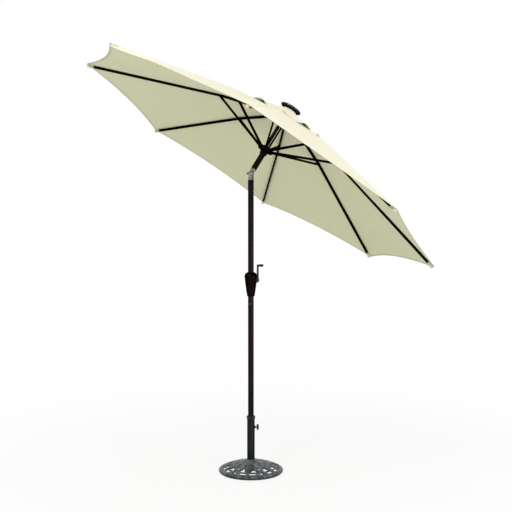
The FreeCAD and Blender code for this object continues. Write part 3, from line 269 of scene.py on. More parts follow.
def finish_of(name, dark, light, cloud, grain, bump, share=0.5, wear=0.3, worn=(0.2, 0.2, 0.2), edge=0.0012,
              roughness=(0.4, 0.5), **sockets):
    """A coated or cast surface: two tones in cloudy patches, fine grain, and rubbed, rounded edges."""
    material, tree = new_material(name, **sockets)
    shader = tree.nodes["Principled BSDF"]
    pattern = add_node(tree, "Group", node_tree=surface_grain)
    for label, value in (("Cloud Scale", cloud), ("Grain Scale", grain), ("Grain Share", share)):
        pattern.inputs[label].default_value = value
    tones = mixed(tree, pattern.outputs["Tone"], dark, light)
    edges = add_node(tree, "Group", node_tree=worn_edges)
    edges.inputs["Width"].default_value = edge
    amount = worked_out(tree, "MULTIPLY", edges.outputs["Wear"], wear)
    tree.links.new(mixed(tree, amount, tones, worn), shader.inputs["Base Color"])
    tree.links.new(ranged(tree, pattern.outputs["Tone"], 0.0, 1.0, *roughness), shader.inputs["Roughness"])
    raised = add_node(tree, "Bump", {"Height": pattern.outputs["Height"], "Distance": bump, "Strength": 1.0,
                                     "Normal": edges.outputs["Normal"]})
    tree.links.new(raised.outputs[0], shader.inputs["Normal"])
    return material


def give(material, *names):
    """Puts the material on whole CAD nodes."""
    for name in names:
        mesh = nodes[name].data
        mesh.materials.clear()
        mesh.materials.append(material)


def add_patina(material, colour, scale, amount):
    """Rubs a second colour over a finish, in larger patches broken by fine ones."""
    tree = material.node_tree
    shader = tree.nodes["Principled BSDF"]
    under = shader.inputs["Base Color"].links[0].from_socket
    patches = add_node(tree, "TexNoise", {"Vector": object_place(tree), "Scale": scale, "Detail": 6.0,
                                          "Roughness": 0.7})
    kept = ranged(tree, patches.outputs[0], 0.42, 0.62, high=amount)
    tree.links.new(mixed(tree, kept, under, colour), shader.inputs["Base Color"])


def paint_shade_on_sides(material, share):
    """Leaves faces that don't look up at that share of their colour: painted shade on sides and undersides,
    where less light falls.
    """
    tree = material.node_tree
    shader = tree.nodes["Principled BSDF"]
    over = shader.inputs["Base Color"].links[0].from_socket
    facing = add_node(tree, "SeparateXYZ", {0: add_node(tree, "NewGeometry").outputs["Normal"]})
    kept = ranged(tree, facing.outputs[2], 0.25, 0.85, low=share)
    shaded_colour = add_node(tree, "VectorMath", {0: over, "Scale": kept}, operation="SCALE")
    tree.links.new(shaded_colour.outputs[0], shader.inputs["Base Color"])


cast_iron = finish_of("cast_patina", (0.012, 0.012, 0.012), (0.075, 0.072, 0.068), cloud=70, grain=700,
                      bump=0.0012, share=0.35, wear=0.9, worn=(0.30, 0.34, 0.37), edge=0.0035,
                      roughness=(0.32, 0.55), metallic=0.3, specular_ior_level=0.4)
add_patina(cast_iron, (0.150, 0.195, 0.222), scale=26, amount=0.85)
# Painted shade: faces that look sideways or down keep as little as 30 % of their colour.
paint_shade_on_sides(cast_iron, share=0.30)
give(cast_iron, "base_plate")

# ------------------------------------------------------------------ base tube, sleeve and clamp
# A steel tube in hammered dark grey paint stands on a plug in the casting, held by a bolt from below.
# A black plastic sleeve with a rim fits in its mouth, and a screw with a lobed knob clamps the pole.

hammered = finish_of("hammered_grey", (0.010, 0.010, 0.010), (0.024, 0.025, 0.025), cloud=150, grain=900,
                     bump=0.0006, share=0.2, wear=0.4, worn=(0.10, 0.11, 0.11), roughness=(0.34, 0.46),
                     metallic=1.0, specular_tint=(0.10, 0.10, 0.10, 1))
add_patina(hammered, (0.030, 0.034, 0.035), scale=12, amount=0.5)
black_plastic = finish_of("black_plastic", (0.006, 0.006, 0.006), (0.011, 0.011, 0.011), cloud=40, grain=1500,
                          bump=0.0002, wear=0.25, worn=(0.05, 0.05, 0.05), roughness=(0.34, 0.45),
                          specular_ior_level=0.25)
zinc = finish_of("zinc_plated", (0.40, 0.40, 0.39), (0.60, 0.60, 0.58), cloud=90, grain=1200, bump=0.0001,
                 wear=0.4, worn=(0.7, 0.7, 0.7), edge=0.0006, roughness=(0.28, 0.4), metallic=1.0)
give(hammered, "base_tube", "tube_plug")
give(black_plastic, "pole_sleeve", "clamp_knob")
give(zinc, "base_bolt")

# ------------------------------------------------------------------ poles
# Three lengths of 38 mm steel tube, powder coated dark bronze.  The middle one plugs into the lower one
# and a sprung button holds it there; the mast above the tilt joint has a slightly greener coat.

DARK_EDGE = (0.05, 0.05, 0.05, 1)


def powder_coat(name, dark, light, worn):
    return finish_of(name, dark, light, cloud=25, grain=2200, bump=0.00006, share=0.8, worn=worn,
                     roughness=(0.30, 0.38), metallic=1.0, specular_tint=DARK_EDGE)


bronze_coat = powder_coat("bronze_powder_coat", (0.013, 0.0085, 0.0095), (0.018, 0.012, 0.013),
                          worn=(0.08, 0.055, 0.05))
dull_steel = finish_of("dull_steel", (0.10, 0.10, 0.10), (0.17, 0.17, 0.16), cloud=90, grain=1200,
                       bump=0.0001, wear=0.4, worn=(0.4, 0.4, 0.4), edge=0.0006, roughness=(0.4, 0.5),
                       metallic=1.0)
mast_coat = powder_coat("mast_powder_coat", (0.011, 0.0105, 0.0075), (0.016, 0.015, 0.011),
                        worn=(0.06, 0.055, 0.05))
give(bronze_coat, "lower_pole", "mid_pole")
give(mast_coat, "upper_pole")
give(dull_steel, "snap_button")

# ------------------------------------------------------------------ crank
# Two half shells of gloss dark brown plastic round the middle pole, held by four screws.  The crank's
# shaft passes through them to an arm with a grip that spins.

gloss_plastic = finish_of("gloss_brown_plastic", (0.006, 0.0035, 0.0035), (0.009, 0.0055, 0.005), cloud=20,
                          grain=1500, bump=0.00005, wear=0.2, worn=(0.05, 0.04, 0.035), edge=0.0015,
                          roughness=(0.16, 0.22), metallic=1.0, specular_tint=DARK_EDGE)
give(gloss_plastic, "case_front", "case_back")
give(black_plastic, "crank_handle", "crank_grip")
give(dull_steel, "case_screws", "crank_shaft")

# ------------------------------------------------------------------ tilt joint
# Two bare aluminium castings, a fork and a tongue on a through bolt, with a black push button
# that frees them.  The rough die-cast skin is mottled light and dark in random patches, and bright where its
# edges are rubbed.

bare_casting = finish_of("bare_casting", (0.055, 0.058, 0.045), (0.78, 0.78, 0.74), cloud=150, grain=800,
                         bump=0.0014, share=0.25, wear=0.7, worn=(0.9, 0.9, 0.88), roughness=(0.25, 0.45),
                         metallic=0.9)
add_patina(bare_casting, (0.035, 0.036, 0.030), scale=120, amount=0.9)
give(bare_casting, "tilt_lower", "tilt_upper")
give(zinc, "tilt_bolt")
give(black_plastic, "tilt_button")

# ------------------------------------------------------------------ hub, runner, ribs and struts
# Slotted crowns of black nylon carry eight ribs and eight struts on pins.  Ribs, struts and pins are
# steel in a gloss black coat; ribs and struts are rectangular tube.

ARMS = range(1, 9)
rib_coat = finish_of("rib_coat", (0.005, 0.0045, 0.003), (0.009, 0.008, 0.006), cloud=40, grain=2000,
                     bump=0.00004, share=0.8, wear=0.25, worn=(0.06, 0.055, 0.045), edge=0.0016,
                     roughness=(0.14, 0.22), metallic=1.0, specular_tint=(0.06, 0.06, 0.05, 1))
give(rib_coat, *(f"{kind}_{i}" for kind in ("rib", "strut") for i in ARMS))
black_nylon = finish_of("black_nylon", (0.005, 0.005, 0.005), (0.010, 0.010, 0.009), cloud=60, grain=1500,
                        bump=0.0002, wear=0.2, worn=(0.05, 0.05, 0.05), roughness=(0.34, 0.45), metallic=1.0,
                        specular_tint=DARK_EDGE)
give(black_nylon, "top_hub", "runner")
give(rib_coat, "hub_pins", "runner_pins")

# ------------------------------------------------------------------ canopy
# Eight gores of ivory polyester, sewn together along the ribs and pulled tight from the vent to the
# ribs' tips, so that each gore is slightly hollow and each hem curves in.  A small pocket under each
# corner holds the rib's end.

mast_foot = Vector(joints["tilt_lean"]["pos_m"])
mast_up = -Vector(joints["runner_slide"]["axis"])
on_mast = Matrix.Translation(mast_foot) @ Matrix.Rotation(atan2(mast_up.x, mast_up.z), 4, "Y")
off_mast = on_mast.inverted()
HALF_GORE = pi / 8
CLOTH, FOLD_STEP = 0.0012, 0.0004
GORE_HOLLOW, HOLLOW_SPREAD = 0.017, 0.8
HEM_CURVE = 0.0473
SEAM_WIDTH, HEM_WIDTH, HEM_EDGE, EDGE_TURN = 0.007, 0.018, 0.006, 0.9
FOLD_RISE = 0.0015
ROWS, COLUMNS = 56, 12


def rib_turn(i):
    """Heading of rib i about the mast."""
    pin = off_mast @ Vector(joints[f"rib_{i}_droop"]["pos_m"])
    return atan2(pin.y, pin.x)


def beside_mast(name):
    """A CAD node's points, upright and turned so that the first rib points along +X."""
    flat = Matrix.Rotation(-rib_turn(1), 4, "Z") @ off_mast
    return [flat @ v.co for v in nodes[name].data.vertices]


def cloth_line():
    """Outside of the cloth along a rib, as (distance from the mast, height): vent, knee and tip."""
    tops = {}
    for p in beside_mast("canopy_1"):
        if abs(p.y) < 1e-4 and p.x > 0:
            out = round(p.x, 4)
            tops[out] = max(p.z, tops.get(out, p.z))
    return [Vector((out, height)) for out, height in sorted(tops.items())]


vent_end, knee, tip_end = cloth_line()
INNER_RUN = (knee - vent_end).length
FULL_RUN = INNER_RUN + (tip_end - knee).length
INNER_WAY, OUTER_WAY = (knee - vent_end).normalized(), (tip_end - knee).normalized()
KNEE_EASE = 0.02


def on_rib(run):
    """Distance from the mast and height at this run along a rib from the vent, eased over the knee."""
    past = run - INNER_RUN
    share = min(max((past + KNEE_EASE) / (2 * KNEE_EASE), 0), 1)
    if 0 < share < 1:
        return knee - INNER_WAY * (KNEE_EASE * (1 - share) ** 2) + OUTER_WAY * (KNEE_EASE * share ** 2)
    return knee + (OUTER_WAY if past > 0 else INNER_WAY) * past


def mid_gore(run):
    """Half the width of the gore at this run."""
    return on_rib(run).x * cos(HALF_GORE) * sin(HALF_GORE)


def eased(value, start, end):
    """0 before start, 1 past end, and a smooth rise between them."""
    share = min(max((value - start) / (end - start), 0), 1)
    return share * share * (3 - 2 * share)


SLACK_RISE, SLACK_FALL, SLACK_DEPTH = (0.004, 0.012), (0.04, 0.33), (0.02, 0.28)


def cloth_point(across, run, slack=0.0):
    """A point of the cloth beside a rib at heading 0; across runs from 0 at the rib to 1 mid-gore.
    With slack, the hem hangs down by that much on one side of the tip."""
    out, height = on_rib(run)
    side = abs(across)
    away = out * cos(HALF_GORE)
    middle = Vector((away * cos(HALF_GORE), away * sin(HALF_GORE), 0))
    spot = Vector((out, 0, 0)).lerp(middle, side)
    dip = GORE_HOLLOW * sin(pi * min(max(run / FULL_RUN, 0), 1)) ** HOLLOW_SPREAD * side * (2 - side)
    if across > 0 and slack:
        beside_rib = eased(spot.y, *SLACK_RISE) * (1 - eased(spot.y, *SLACK_FALL))
        dip += slack * beside_rib * (1 - eased(hem_run(across) - run, *SLACK_DEPTH))
    spot.z = height - dip
    if across < 0:
        spot.y = -spot.y
    return spot


TAB_HALF, TAB_PAST = 0.0125, 0.002
TAB_SLANT = tan(HALF_GORE) / OUTER_WAY.x
# Only beside the fifth rib's tip does the hem hang slack.
TIP_SLACK = {5: 0.019}
HEM_MIDDLE = FULL_RUN - HEM_CURVE


def hem_run(across):
    """Run at which the cloth ends: square over the tip pocket, then curving in towards mid-gore."""
    half = mid_gore(FULL_RUN)
    away = abs(across) * half
    if away < TAB_HALF:
        return FULL_RUN + TAB_PAST + away * TAB_SLANT
    side = (away - TAB_HALF) / (half - TAB_HALF)
    corner = FULL_RUN + TAB_PAST + TAB_HALF * TAB_SLANT
    return corner - (corner - HEM_MIDDLE) * side * (2 - side)


def make_weave_group():
    """Plain weave seen from near: Height for bump and Shade for colour, from metres along the cloth."""
    group, source, result = group_with("plain_weave", [
        ("Vector", "Vector", None), ("Threads", "Float", 1200.0),
    ], [("Height", "Float"), ("Shade", "Float")])
    scaled = add_node(group, "VectorMath", {0: source.outputs[0], "Scale": source.outputs[1]},
                      operation="SCALE")
    parts = add_node(group, "SeparateXYZ", {0: scaled.outputs[0]})
    warp, weft = (worked_out(group, "SINE", parts.outputs[way]) for way in (0, 1))
    height = ranged(group, worked_out(group, "MULTIPLY", warp, weft), -1.0, 1.0)
    slubs = add_node(group, "TexNoise", {"Vector": source.outputs[0], "Scale": 700.0, "Detail": 3.0})
    shade = add_node(group, "Mix", {0: 0.5, 2: height, 3: slubs.outputs[0]}, data_type="FLOAT")
    group.links.new(height, result.inputs["Height"])
    group.links.new(shade.outputs[0], result.inputs["Shade"])
    return group


plain_weave = make_weave_group()
# Share of its colour that the hem's very edge keeps: painted shade along the hem.
HEM_EDGE_SHADE = 0.5
PULL_PITCH, PULL_DEPTH = (26.0, 5.0, 1.0), 0.0012


def cloth_material(name, colour, shade, doubled):
    """Woven polyester: cloudy tone, faint pulls along the rib, and doubled cloth darker by that share.
    The attribute doubled is 0 on single cloth, 1 where it is folded and 2 at the edge of the hem; from 1 to 2
    it adds painted shade, which takes the colour down to half at the hem's edge and darkens the tip pockets."""
    material, tree = new_material(name, roughness=0.85, sheen_weight=0.03, sheen_roughness=0.5,
                                  specular_ior_level=0.08)
    shader = tree.nodes["Principled BSDF"]
    place = add_node(tree, "UVMap", uv_map="cloth").outputs[0]
    weave = add_node(tree, "Group", {"Vector": place, "Threads": 1500.0}, node_tree=plain_weave)
    clouds = add_node(tree, "TexNoise", {"Vector": object_place(tree), "Scale": 3.0, "Detail": 4.0,
                                         "Roughness": 0.55})
    base = mixed(tree, ranged(tree, clouds.outputs[0], 0.3, 0.7), shade, colour)
    threads = ranged(tree, weave.outputs["Shade"], 0.0, 1.0, 0.955, 1.02)
    sewn = add_node(tree, "Attribute", attribute_name="doubled").outputs["Fac"]
    folds = ranged(tree, sewn, 0.0, 1.0, 1.0, doubled)
    # Painted shade where doubled runs from 1 to 2: at the hem's edge and on the tip pockets.
    edge = ranged(tree, sewn, 1.0, 2.0, 1.0, HEM_EDGE_SHADE)
    amount = worked_out(tree, "MULTIPLY", threads, worked_out(tree, "MULTIPLY", folds, edge))
    final = add_node(tree, "VectorMath", {0: base, "Scale": amount}, operation="SCALE")
    tree.links.new(final.outputs[0], shader.inputs["Base Color"])
    along = add_node(tree, "Mapping", {"Vector": place, "Scale": PULL_PITCH})
    pulls = add_node(tree, "TexNoise", {"Vector": along.outputs[0], "Scale": 1.0, "Detail": 4.0})
    creased = add_node(tree, "Bump", {"Height": pulls.outputs[0], "Distance": PULL_DEPTH, "Strength": 1.0})
    raised = add_node(tree, "Bump", {"Height": weave.outputs["Height"], "Distance": 0.00008, "Strength": 0.6,
                                     "Normal": creased.outputs[0]})
    tree.links.new(raised.outputs[0], shader.inputs["Normal"])
    return material


cloth_outside = cloth_material("ivory_cloth", (0.95, 0.915, 0.72), (0.925, 0.89, 0.695), doubled=0.94)
# Painted shade: the underside is the same ivory cloth made darker and greener, as it looks in its own shadow
# with light coming through it.
cloth_underside_shaded = cloth_material("ivory_cloth_inside", (0.78, 0.785, 0.54), (0.75, 0.76, 0.52), doubled=0.93)


def placed_from(bm, name, *materials):
    """The object that a finished closed bmesh makes, with its faces turned outwards."""
    bmesh.ops.recalc_face_normals(bm, faces=bm.faces)
    mesh = bpy.data.meshes.new(name)
    bm.to_mesh(mesh)
    bm.free()
    for material in materials:
        mesh.materials.append(material)
    return placed(name, mesh)


def sheet_from(name, grid, thick, materials, uvs, doubled, upwards=mast_up, round_trip=False):
    """A closed thin sheet from rows of points, whose second material is on its underside; a round trip
    joins the last column to the first, and then each row of uvs has one place more than its points."""
    rows, columns = len(grid), len(grid[0])
    bm = bmesh.new()
    uv = bm.loops.layers.uv.new("cloth")
    folded = bm.verts.layers.float.new("doubled")
    over = [[bm.verts.new(p) for p in row] for row in grid]
    steps = [(c, (c + 1) % columns) for c in range(columns if round_trip else columns - 1)]
    patches = []
    for r in range(rows - 1):
        for c, d in steps:
            corners = [(r, c, c), (r + 1, c, c), (r + 1, d, c + 1), (r, d, c + 1)]
            patches.append((bm.faces.new([over[row][column] for row, column, _ in corners]), corners))
    bm.normal_update()
    turned_over = sum((v.normal for row in over for v in row), Vector()).dot(upwards) < 0
    away = 1 if turned_over else -1
    under = [[bm.verts.new(v.co + v.normal * thick * away) for v in row] for row in over]
    for face, corners in patches:
        low = bm.faces.new([under[row][column] for row, column, _ in reversed(corners)])
        low.material_index = 1
        for side in (face, low):
            side.smooth = True
            for loop, (row, _, place) in zip(side.loops, corners if side is face else corners[::-1]):
                loop[uv].uv = uvs[row][place]
    for row, folds in zip(range(rows), doubled):
        for layer in (over, under):
            for v, amount in zip(layer[row], folds):
                v[folded] = amount
    rim = [((0, c), (0, d)) for c, d in steps] + [((rows - 1, d), (rows - 1, c)) for c, d in steps]
    if not round_trip:
        rim += [((r + 1, 0), (r, 0)) for r in range(rows - 1)]
        rim += [((r, columns - 1), (r + 1, columns - 1)) for r in range(rows - 1)]
    for (r, c), (s, d) in rim:
        wall = bm.faces.new((over[r][c], over[s][d], under[s][d], under[r][c]))
        for edge in wall.edges:
            edge.smooth = False
        for loop, (row, column) in zip(wall.loops, ((r, c), (s, d), (s, d), (r, c))):
            loop[uv].uv = uvs[row][column]
    return placed_from(bm, name, *materials)


SHORT_STITCH, LONG_STITCH = 0.85, 1.1


def stitch_tree():
    """Sews: a short thread at every pitch along each line, each one turned along its line."""
    tree = bpy.data.node_groups.new("stitches", "GeometryNodeTree")
    tree.interface.new_socket("Geometry", in_out="INPUT", socket_type="NodeSocketGeometry")
    for label, value in (("Pitch", 0.007), ("Stitch Length", 0.005), ("Thread", 0.0004)):
        tree.interface.new_socket(label, in_out="INPUT", socket_type="NodeSocketFloat").default_value = value
    tree.interface.new_socket("Seed", in_out="INPUT", socket_type="NodeSocketInt").default_value = 7
    tree.interface.new_socket("Material", in_out="INPUT", socket_type="NodeSocketMaterial")
    tree.interface.new_socket("Geometry", in_out="OUTPUT", socket_type="NodeSocketGeometry")
    source, result = tree.nodes.new("NodeGroupInput"), tree.nodes.new("NodeGroupOutput")
    lines = add_node(tree, "GeometryNodeMeshToCurve", {0: source.outputs["Geometry"]})
    spaced = add_node(tree, "GeometryNodeResampleCurve", {"Curve": lines.outputs[0],
                                                          "Length": source.outputs["Pitch"]}, mode="LENGTH")
    thread = add_node(tree, "GeometryNodeMeshCylinder", {
        "Vertices": 5, "Radius": source.outputs["Thread"], "Depth": source.outputs["Stitch Length"],
    })
    way = add_node(tree, "GeometryNodeInputTangent")
    turned = add_node(tree, "FunctionNodeAlignRotationToVector", {"Vector": way.outputs[0]}, axis="Z")
    varied = add_node(tree, "FunctionNodeRandomValue", {2: SHORT_STITCH, 3: LONG_STITCH,
                                                        "Seed": source.outputs["Seed"]}, data_type="FLOAT")
    sewn = add_node(tree, "GeometryNodeInstanceOnPoints", {
        "Points": spaced.outputs[0], "Instance": thread.outputs["Mesh"], "Rotation": turned.outputs[0],
        "Scale": varied.outputs[1],
    })
    plain = add_node(tree, "GeometryNodeRealizeInstances", {0: sewn.outputs[0]})
    coloured = add_node(tree, "GeometryNodeSetMaterial", {"Geometry": plain.outputs[0],
                                                          "Material": source.outputs["Material"]})
    tree.links.new(coloured.outputs[0], result.inputs[0])
    return tree


def grown(name, start, tree, **inputs):
    """Runs a Geometry Nodes tree on a start mesh and returns its result as one plain object."""
    seedling = placed(name + "_start", start)
    step = seedling.modifiers.new("nodes", "NODES")
    step.node_group = tree
    for socket in tree.interface.items_tree:
        label = socket.name.lower().replace(" ", "_")
        if socket.in_out == "INPUT" and label in inputs:
            step[socket.identifier] = inputs[label]
    ready = seedling.evaluated_get(bpy.context.evaluated_depsgraph_get())
    mesh = bpy.data.meshes.new_from_object(ready)
    mesh.name = name
    bpy.data.objects.remove(seedling)
    return placed(name, mesh)


stitches = stitch_tree()
thread_ivory = finish_of("ivory_thread", (0.80, 0.77, 0.62), (0.90, 0.87, 0.72), cloud=60, grain=3000,
                         bump=0.0001, wear=0.0, roughness=(0.6, 0.7))


def sewn_lines(lines):
    """A mesh of open lines."""
    spots, edges = [], []
    for line in lines:
        edges += [(len(spots) + k, len(spots) + k + 1) for k in range(len(line) - 1)]
        spots += line
    mesh = bpy.data.meshes.new("seam_lines")
    mesh.from_pydata(spots, edges, [])
    return mesh


def steps_to(start, end, count):
    """Even steps from start to end, both included."""
    return [start + (end - start) * k / count for k in range(count + 1)]


def across_at(run):
    """Where the columns of the cloth lie: close together over the seam, then even out to mid-gore."""
    near = [y / mid_gore(run) for y in (0, SEAM_WIDTH / 2, SEAM_WIDTH, SEAM_WIDTH + FOLD_RISE, TAB_HALF,
                                        TAB_HALF + 2 * FOLD_RISE)]
    side = near[:-1] + steps_to(near[-1], 1, COLUMNS)
    return [-s for s in reversed(side[1:])] + side


def runs_to(end):
    """Where the rows of the cloth lie: even, then close together over the hem."""
    return steps_to(0, end - HEM_WIDTH - FOLD_RISE, ROWS) + [
        end - HEM_WIDTH, end - HEM_WIDTH / 2, end - HEM_EDGE, end - HEM_EDGE * EDGE_TURN, end,
    ]


def cloth_normal(across, run):
    """The way out of the cloth beside a rib at heading 0."""
    step = 0.004
    ahead = cloth_point(across, run + step) - cloth_point(across, run - step)
    beside = cloth_point(across + step, run) - cloth_point(across - step, run)
    return ahead.cross(beside).normalized()


RIB_END = 0.012


def rib_under():
    """At a rib's end: the depth of its lowest corner below the cloth, and the rib's half width."""
    spots = beside_mast("rib_1")
    far = max(p.x for p in spots)
    end = [p for p in spots if p.x > far - RIB_END]
    down = Vector((OUTER_WAY.y, -OUTER_WAY.x))
    depth = max((Vector((p.x, p.z)) - tip_end).dot(down) for p in end)
    return depth, max(abs(p.y) for p in end)


RIB_DEPTH, RIB_HALF = rib_under()
POCKET_LONG, POCKET_CLOSE, POCKET_PAST, POCKET_WALL = 0.046, 0.0003, 0.0015, 0.0009
POCKET_FLANGE, POCKET_CORNER = TAB_HALF, 0.0025
POCKET_ROOM, POCKET_BELOW, POCKET_ABOVE = 0.0014, 0.0012, 0.0007
POCKET_ROWS = (-POCKET_LONG, -POCKET_LONG + 0.002, -0.030, -0.020, -0.010, -0.003, POCKET_CLOSE, 0.0007,
               0.0011, POCKET_PAST)
# Pocket cloth is marked between 1 and 2 so that it gets painted shade, most at its open end.
POCKET_MOUTH_SHADE, POCKET_SHADE = 1.9, 1.3


def tip_pocket(i, turned):
    """Cloth pocket sewn under the gores' corner, which holds the end of the rib."""
    out = Vector((OUTER_WAY.x, 0, OUTER_WAY.y))
    down = Vector((OUTER_WAY.y, 0, -OUTER_WAY.x))
    end = Vector((tip_end.x, 0, tip_end.y))
    half = RIB_HALF + POCKET_ROOM
    deep, shallow = RIB_DEPTH + POCKET_BELOW, CLOTH + POCKET_ABOVE
    outline = [(-POCKET_FLANGE, 0), (-(POCKET_FLANGE + half) / 2, 0), (-half - 0.0012, 0.0), (-half, 0.12),
               (-half, 0.5), (-half, 0.88), (-half + POCKET_CORNER * 0.4, 0.97), (-half + POCKET_CORNER, 1),
               (0, 1)]
    outline += [(-y, share) for y, share in reversed(outline[:-1])]
    grid, uvs, doubled = [], [], []
    for place in POCKET_ROWS:
        closing = max(0.0, (place - POCKET_CLOSE) / (POCKET_PAST - POCKET_CLOSE))
        depth = shallow + (deep - shallow) * (1 - closing ** 2)
        row = []
        for y, share in outline:
            fall = abs(y) * tan(HALF_GORE) * -OUTER_WAY.y
            sunk = shallow + fall + max(0.0, depth - shallow - fall) * share
            row.append(turned @ (end + out * place + down * sunk + Vector((0, y, 0))))
        grid.append(row)
        uvs.append([(y, place) for y, _ in outline])
        doubled.append([POCKET_MOUTH_SHADE if place == -POCKET_LONG else POCKET_SHADE] * len(outline))
    pocket = sheet_from(f"tip_pocket_{i}", grid, POCKET_WALL, (cloth_outside, cloth_underside_shaded), uvs, doubled,
                        upwards=turned.to_3x3() @ -down)
    return pocket


STITCH_STEPS = 160
SEAM_STITCHED, SEAM_START, SEAM_SHORT = 0.8, 0.004, 0.026
HEM_STITCHED, HEM_REACH = 0.85, 0.995


def canopy_section(i):
    """The cloth over rib i, from mid-gore to mid-gore, with its tip pocket and its stitches.  Each such
    piece follows its own rib, and at rest they join without a step."""
    slack = TIP_SLACK.get(i, 0.0)
    turned = on_mast @ Matrix.Rotation(rib_turn(i), 4, "Z")
    grid, uvs, doubled = [], [], []
    for r, plain_run in enumerate(runs_to(FULL_RUN)):
        row, places, folds = [], [], []
        for across in across_at(plain_run):
            end = hem_run(across)
            run = runs_to(end)[r]
            spot = cloth_point(across, run, slack)
            in_hem, in_seam = end - run < HEM_WIDTH + 1e-6, abs(spot.y) < SEAM_WIDTH + 1e-4
            if in_hem or in_seam:
                spot += cloth_normal(across, run) * FOLD_STEP
            row.append(turned @ spot)
            places.append((spot.y, run))
            # The hem's outermost band is marked 2, for painted shade; folds and seams are marked 1.
            folds.append(2.0 if end - run < HEM_EDGE - 1e-6 else 1.0 if in_hem or in_seam else 0.0)
        grid.append(row)
        uvs.append(places)
        doubled.append(folds)
    made = sheet_from(f"canopy_cloth_{i}", grid, CLOTH, (cloth_outside, cloth_underside_shaded), uvs, doubled)
    seams = [[(side * SEAM_STITCHED * SEAM_WIDTH / mid_gore(run), run)
              for run in steps_to(SEAM_START, FULL_RUN - SEAM_SHORT, STITCH_STEPS)] for side in (-1, 1)]
    hem = [(a, hem_run(a) - HEM_WIDTH * HEM_STITCHED) for a in steps_to(-HEM_REACH, HEM_REACH, STITCH_STEPS)]
    lines = [[turned @ (cloth_point(a, run, slack) + cloth_normal(a, run) * depth) for a, run in line]
             for depth in (FOLD_STEP, -CLOTH) for line in (*seams, hem)]
    sewing = grown(f"canopy_stitches_{i}", sewn_lines(lines), stitches, material=thread_ivory, seed=i)
    pocket = tip_pocket(i, turned)
    droop = joints[f"rib_{i}_droop"]
    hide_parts(f"canopy_{i}")
    for piece in (made, sewing, pocket):
        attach(piece, droop["child"])
    for piece in (made, sewing):
        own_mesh(piece)


for i in ARMS:
    canopy_section(i)

# ------------------------------------------------------------------ vent cap
# A small second canopy over the vent, of the same ivory cloth: tied to the ribs at its eight corners,
# loose between them so that wind can pass, and drawn up in a round dome under the solar disc.

# Painted light: the cap's underside is a lighter, greener copy of the ivory cloth, standing in for light that
# comes through the flaps.
cap_underside_backlit = cloth_material("ivory_cap_inside", (0.93, 0.95, 0.84), (0.91, 0.93, 0.82), doubled=0.93)
cap_spots = beside_mast("vent_cap")
CAP_OUT = max(p.xy.length for p in cap_spots)
CAP_RIM = min(p.z for p in cap_spots if p.xy.length > CAP_OUT - 0.001)
SOLID_CLOTH = 0.0016
CAP_PEAK = max(p.z for p in cap_spots) - SOLID_CLOTH
CAP_HOLE, CAP_STEPS = 0.008, 192
ROLL_OUT, ROLL_DROP = 0.050, 0.008
DOME_OUT, DOME_DROP = 0.077, 0.025
SIDE_HOLLOW, HEM_BELOW, HEM_PULLED, HEM_FOLLOWS = 0.003, 0.0085, 0.02, 0.57
HEM_SETTLE = HEM_FOLLOWS * (cloth_point(0, CAP_OUT).z - cloth_point(1, CAP_OUT).z)
CORNERED_SOON = 2.5
GATHER, GATHERS = 0.0012, 40
CREASE, CREASED_SOON, CREASE_CALMED = 0.003, 6, 0.8
CREASES_OUT, CREASES_ROUND = 24, 5
# Each flap's lift, and its heading and half width in degrees.
FLAPS = ((0.016, 25, 11), (0.019, 68, 12), (0.014, 113, 11), (0.012, 155, 9), (0.022, 189, 9),
         (0.022, 262, 8), (0.042, 299, 10), (0.012, 340, 12))


def cap_height(out):
    """Height of the cap's line towards a corner: dome, steep side, then down to the corner."""
    if out < ROLL_OUT:
        return CAP_PEAK - ROLL_DROP * (out / ROLL_OUT) ** 3
    if out < DOME_OUT:
        share = (out - ROLL_OUT) / (DOME_OUT - ROLL_OUT)
        return CAP_PEAK - ROLL_DROP - (DOME_DROP - ROLL_DROP) * sin(share * pi / 2)
    foot = CAP_PEAK - DOME_DROP
    share = (out - DOME_OUT) / (CAP_OUT - DOME_OUT)
    return foot + (CAP_RIM - HEM_BELOW - foot) * share - SIDE_HOLLOW * sin(pi * share)


def cap_point(out, heading):
    """A point of the cap; heading is 0 at a corner, and out is taken along the corner's line."""
    gore = (heading / (2 * HALF_GORE)) % 1
    loose = max(0.0, (out - DOME_OUT) / (CAP_OUT - DOME_OUT))
    belly = sin(pi * gore) ** 2
    chord = cos(HALF_GORE) / cos((gore - 0.5) * 2 * HALF_GORE)
    cornered = 1 + (chord - 1) * min(1, loose * CORNERED_SOON)
    reach = out * cornered * (1 - HEM_PULLED * loose ** 3 * belly)
    lift = -HEM_SETTLE * loose * belly
    for height, crest, wide in FLAPS:
        away = (degrees(heading) - crest + 180) % 360 - 180
        lift += height * loose ** 2 * exp(-(away / wide) ** 2)
    wander = Vector((out * CREASES_OUT, cos(heading) * CREASES_ROUND, sin(heading) * CREASES_ROUND))
    crease = CREASE * noise.noise(wander) * min(1, loose * CREASED_SOON)
    crease *= 1 - CREASE_CALMED * (1 - belly) * loose
    gathers = GATHER * sin(heading * GATHERS) * min(1, out / DOME_OUT) * (1 - loose) ** 4
    return Vector((reach * cos(heading), reach * sin(heading), cap_height(out) + lift + crease + gathers))


DOME_ROWS, SIDE_ROWS, CAP_STITCH_STEPS = 14, 20, 400
CAP_HEM, CAP_STITCHED, CAP_EDGE_IN, CAP_EDGE = 0.95, 0.96, 0.985, 0.995


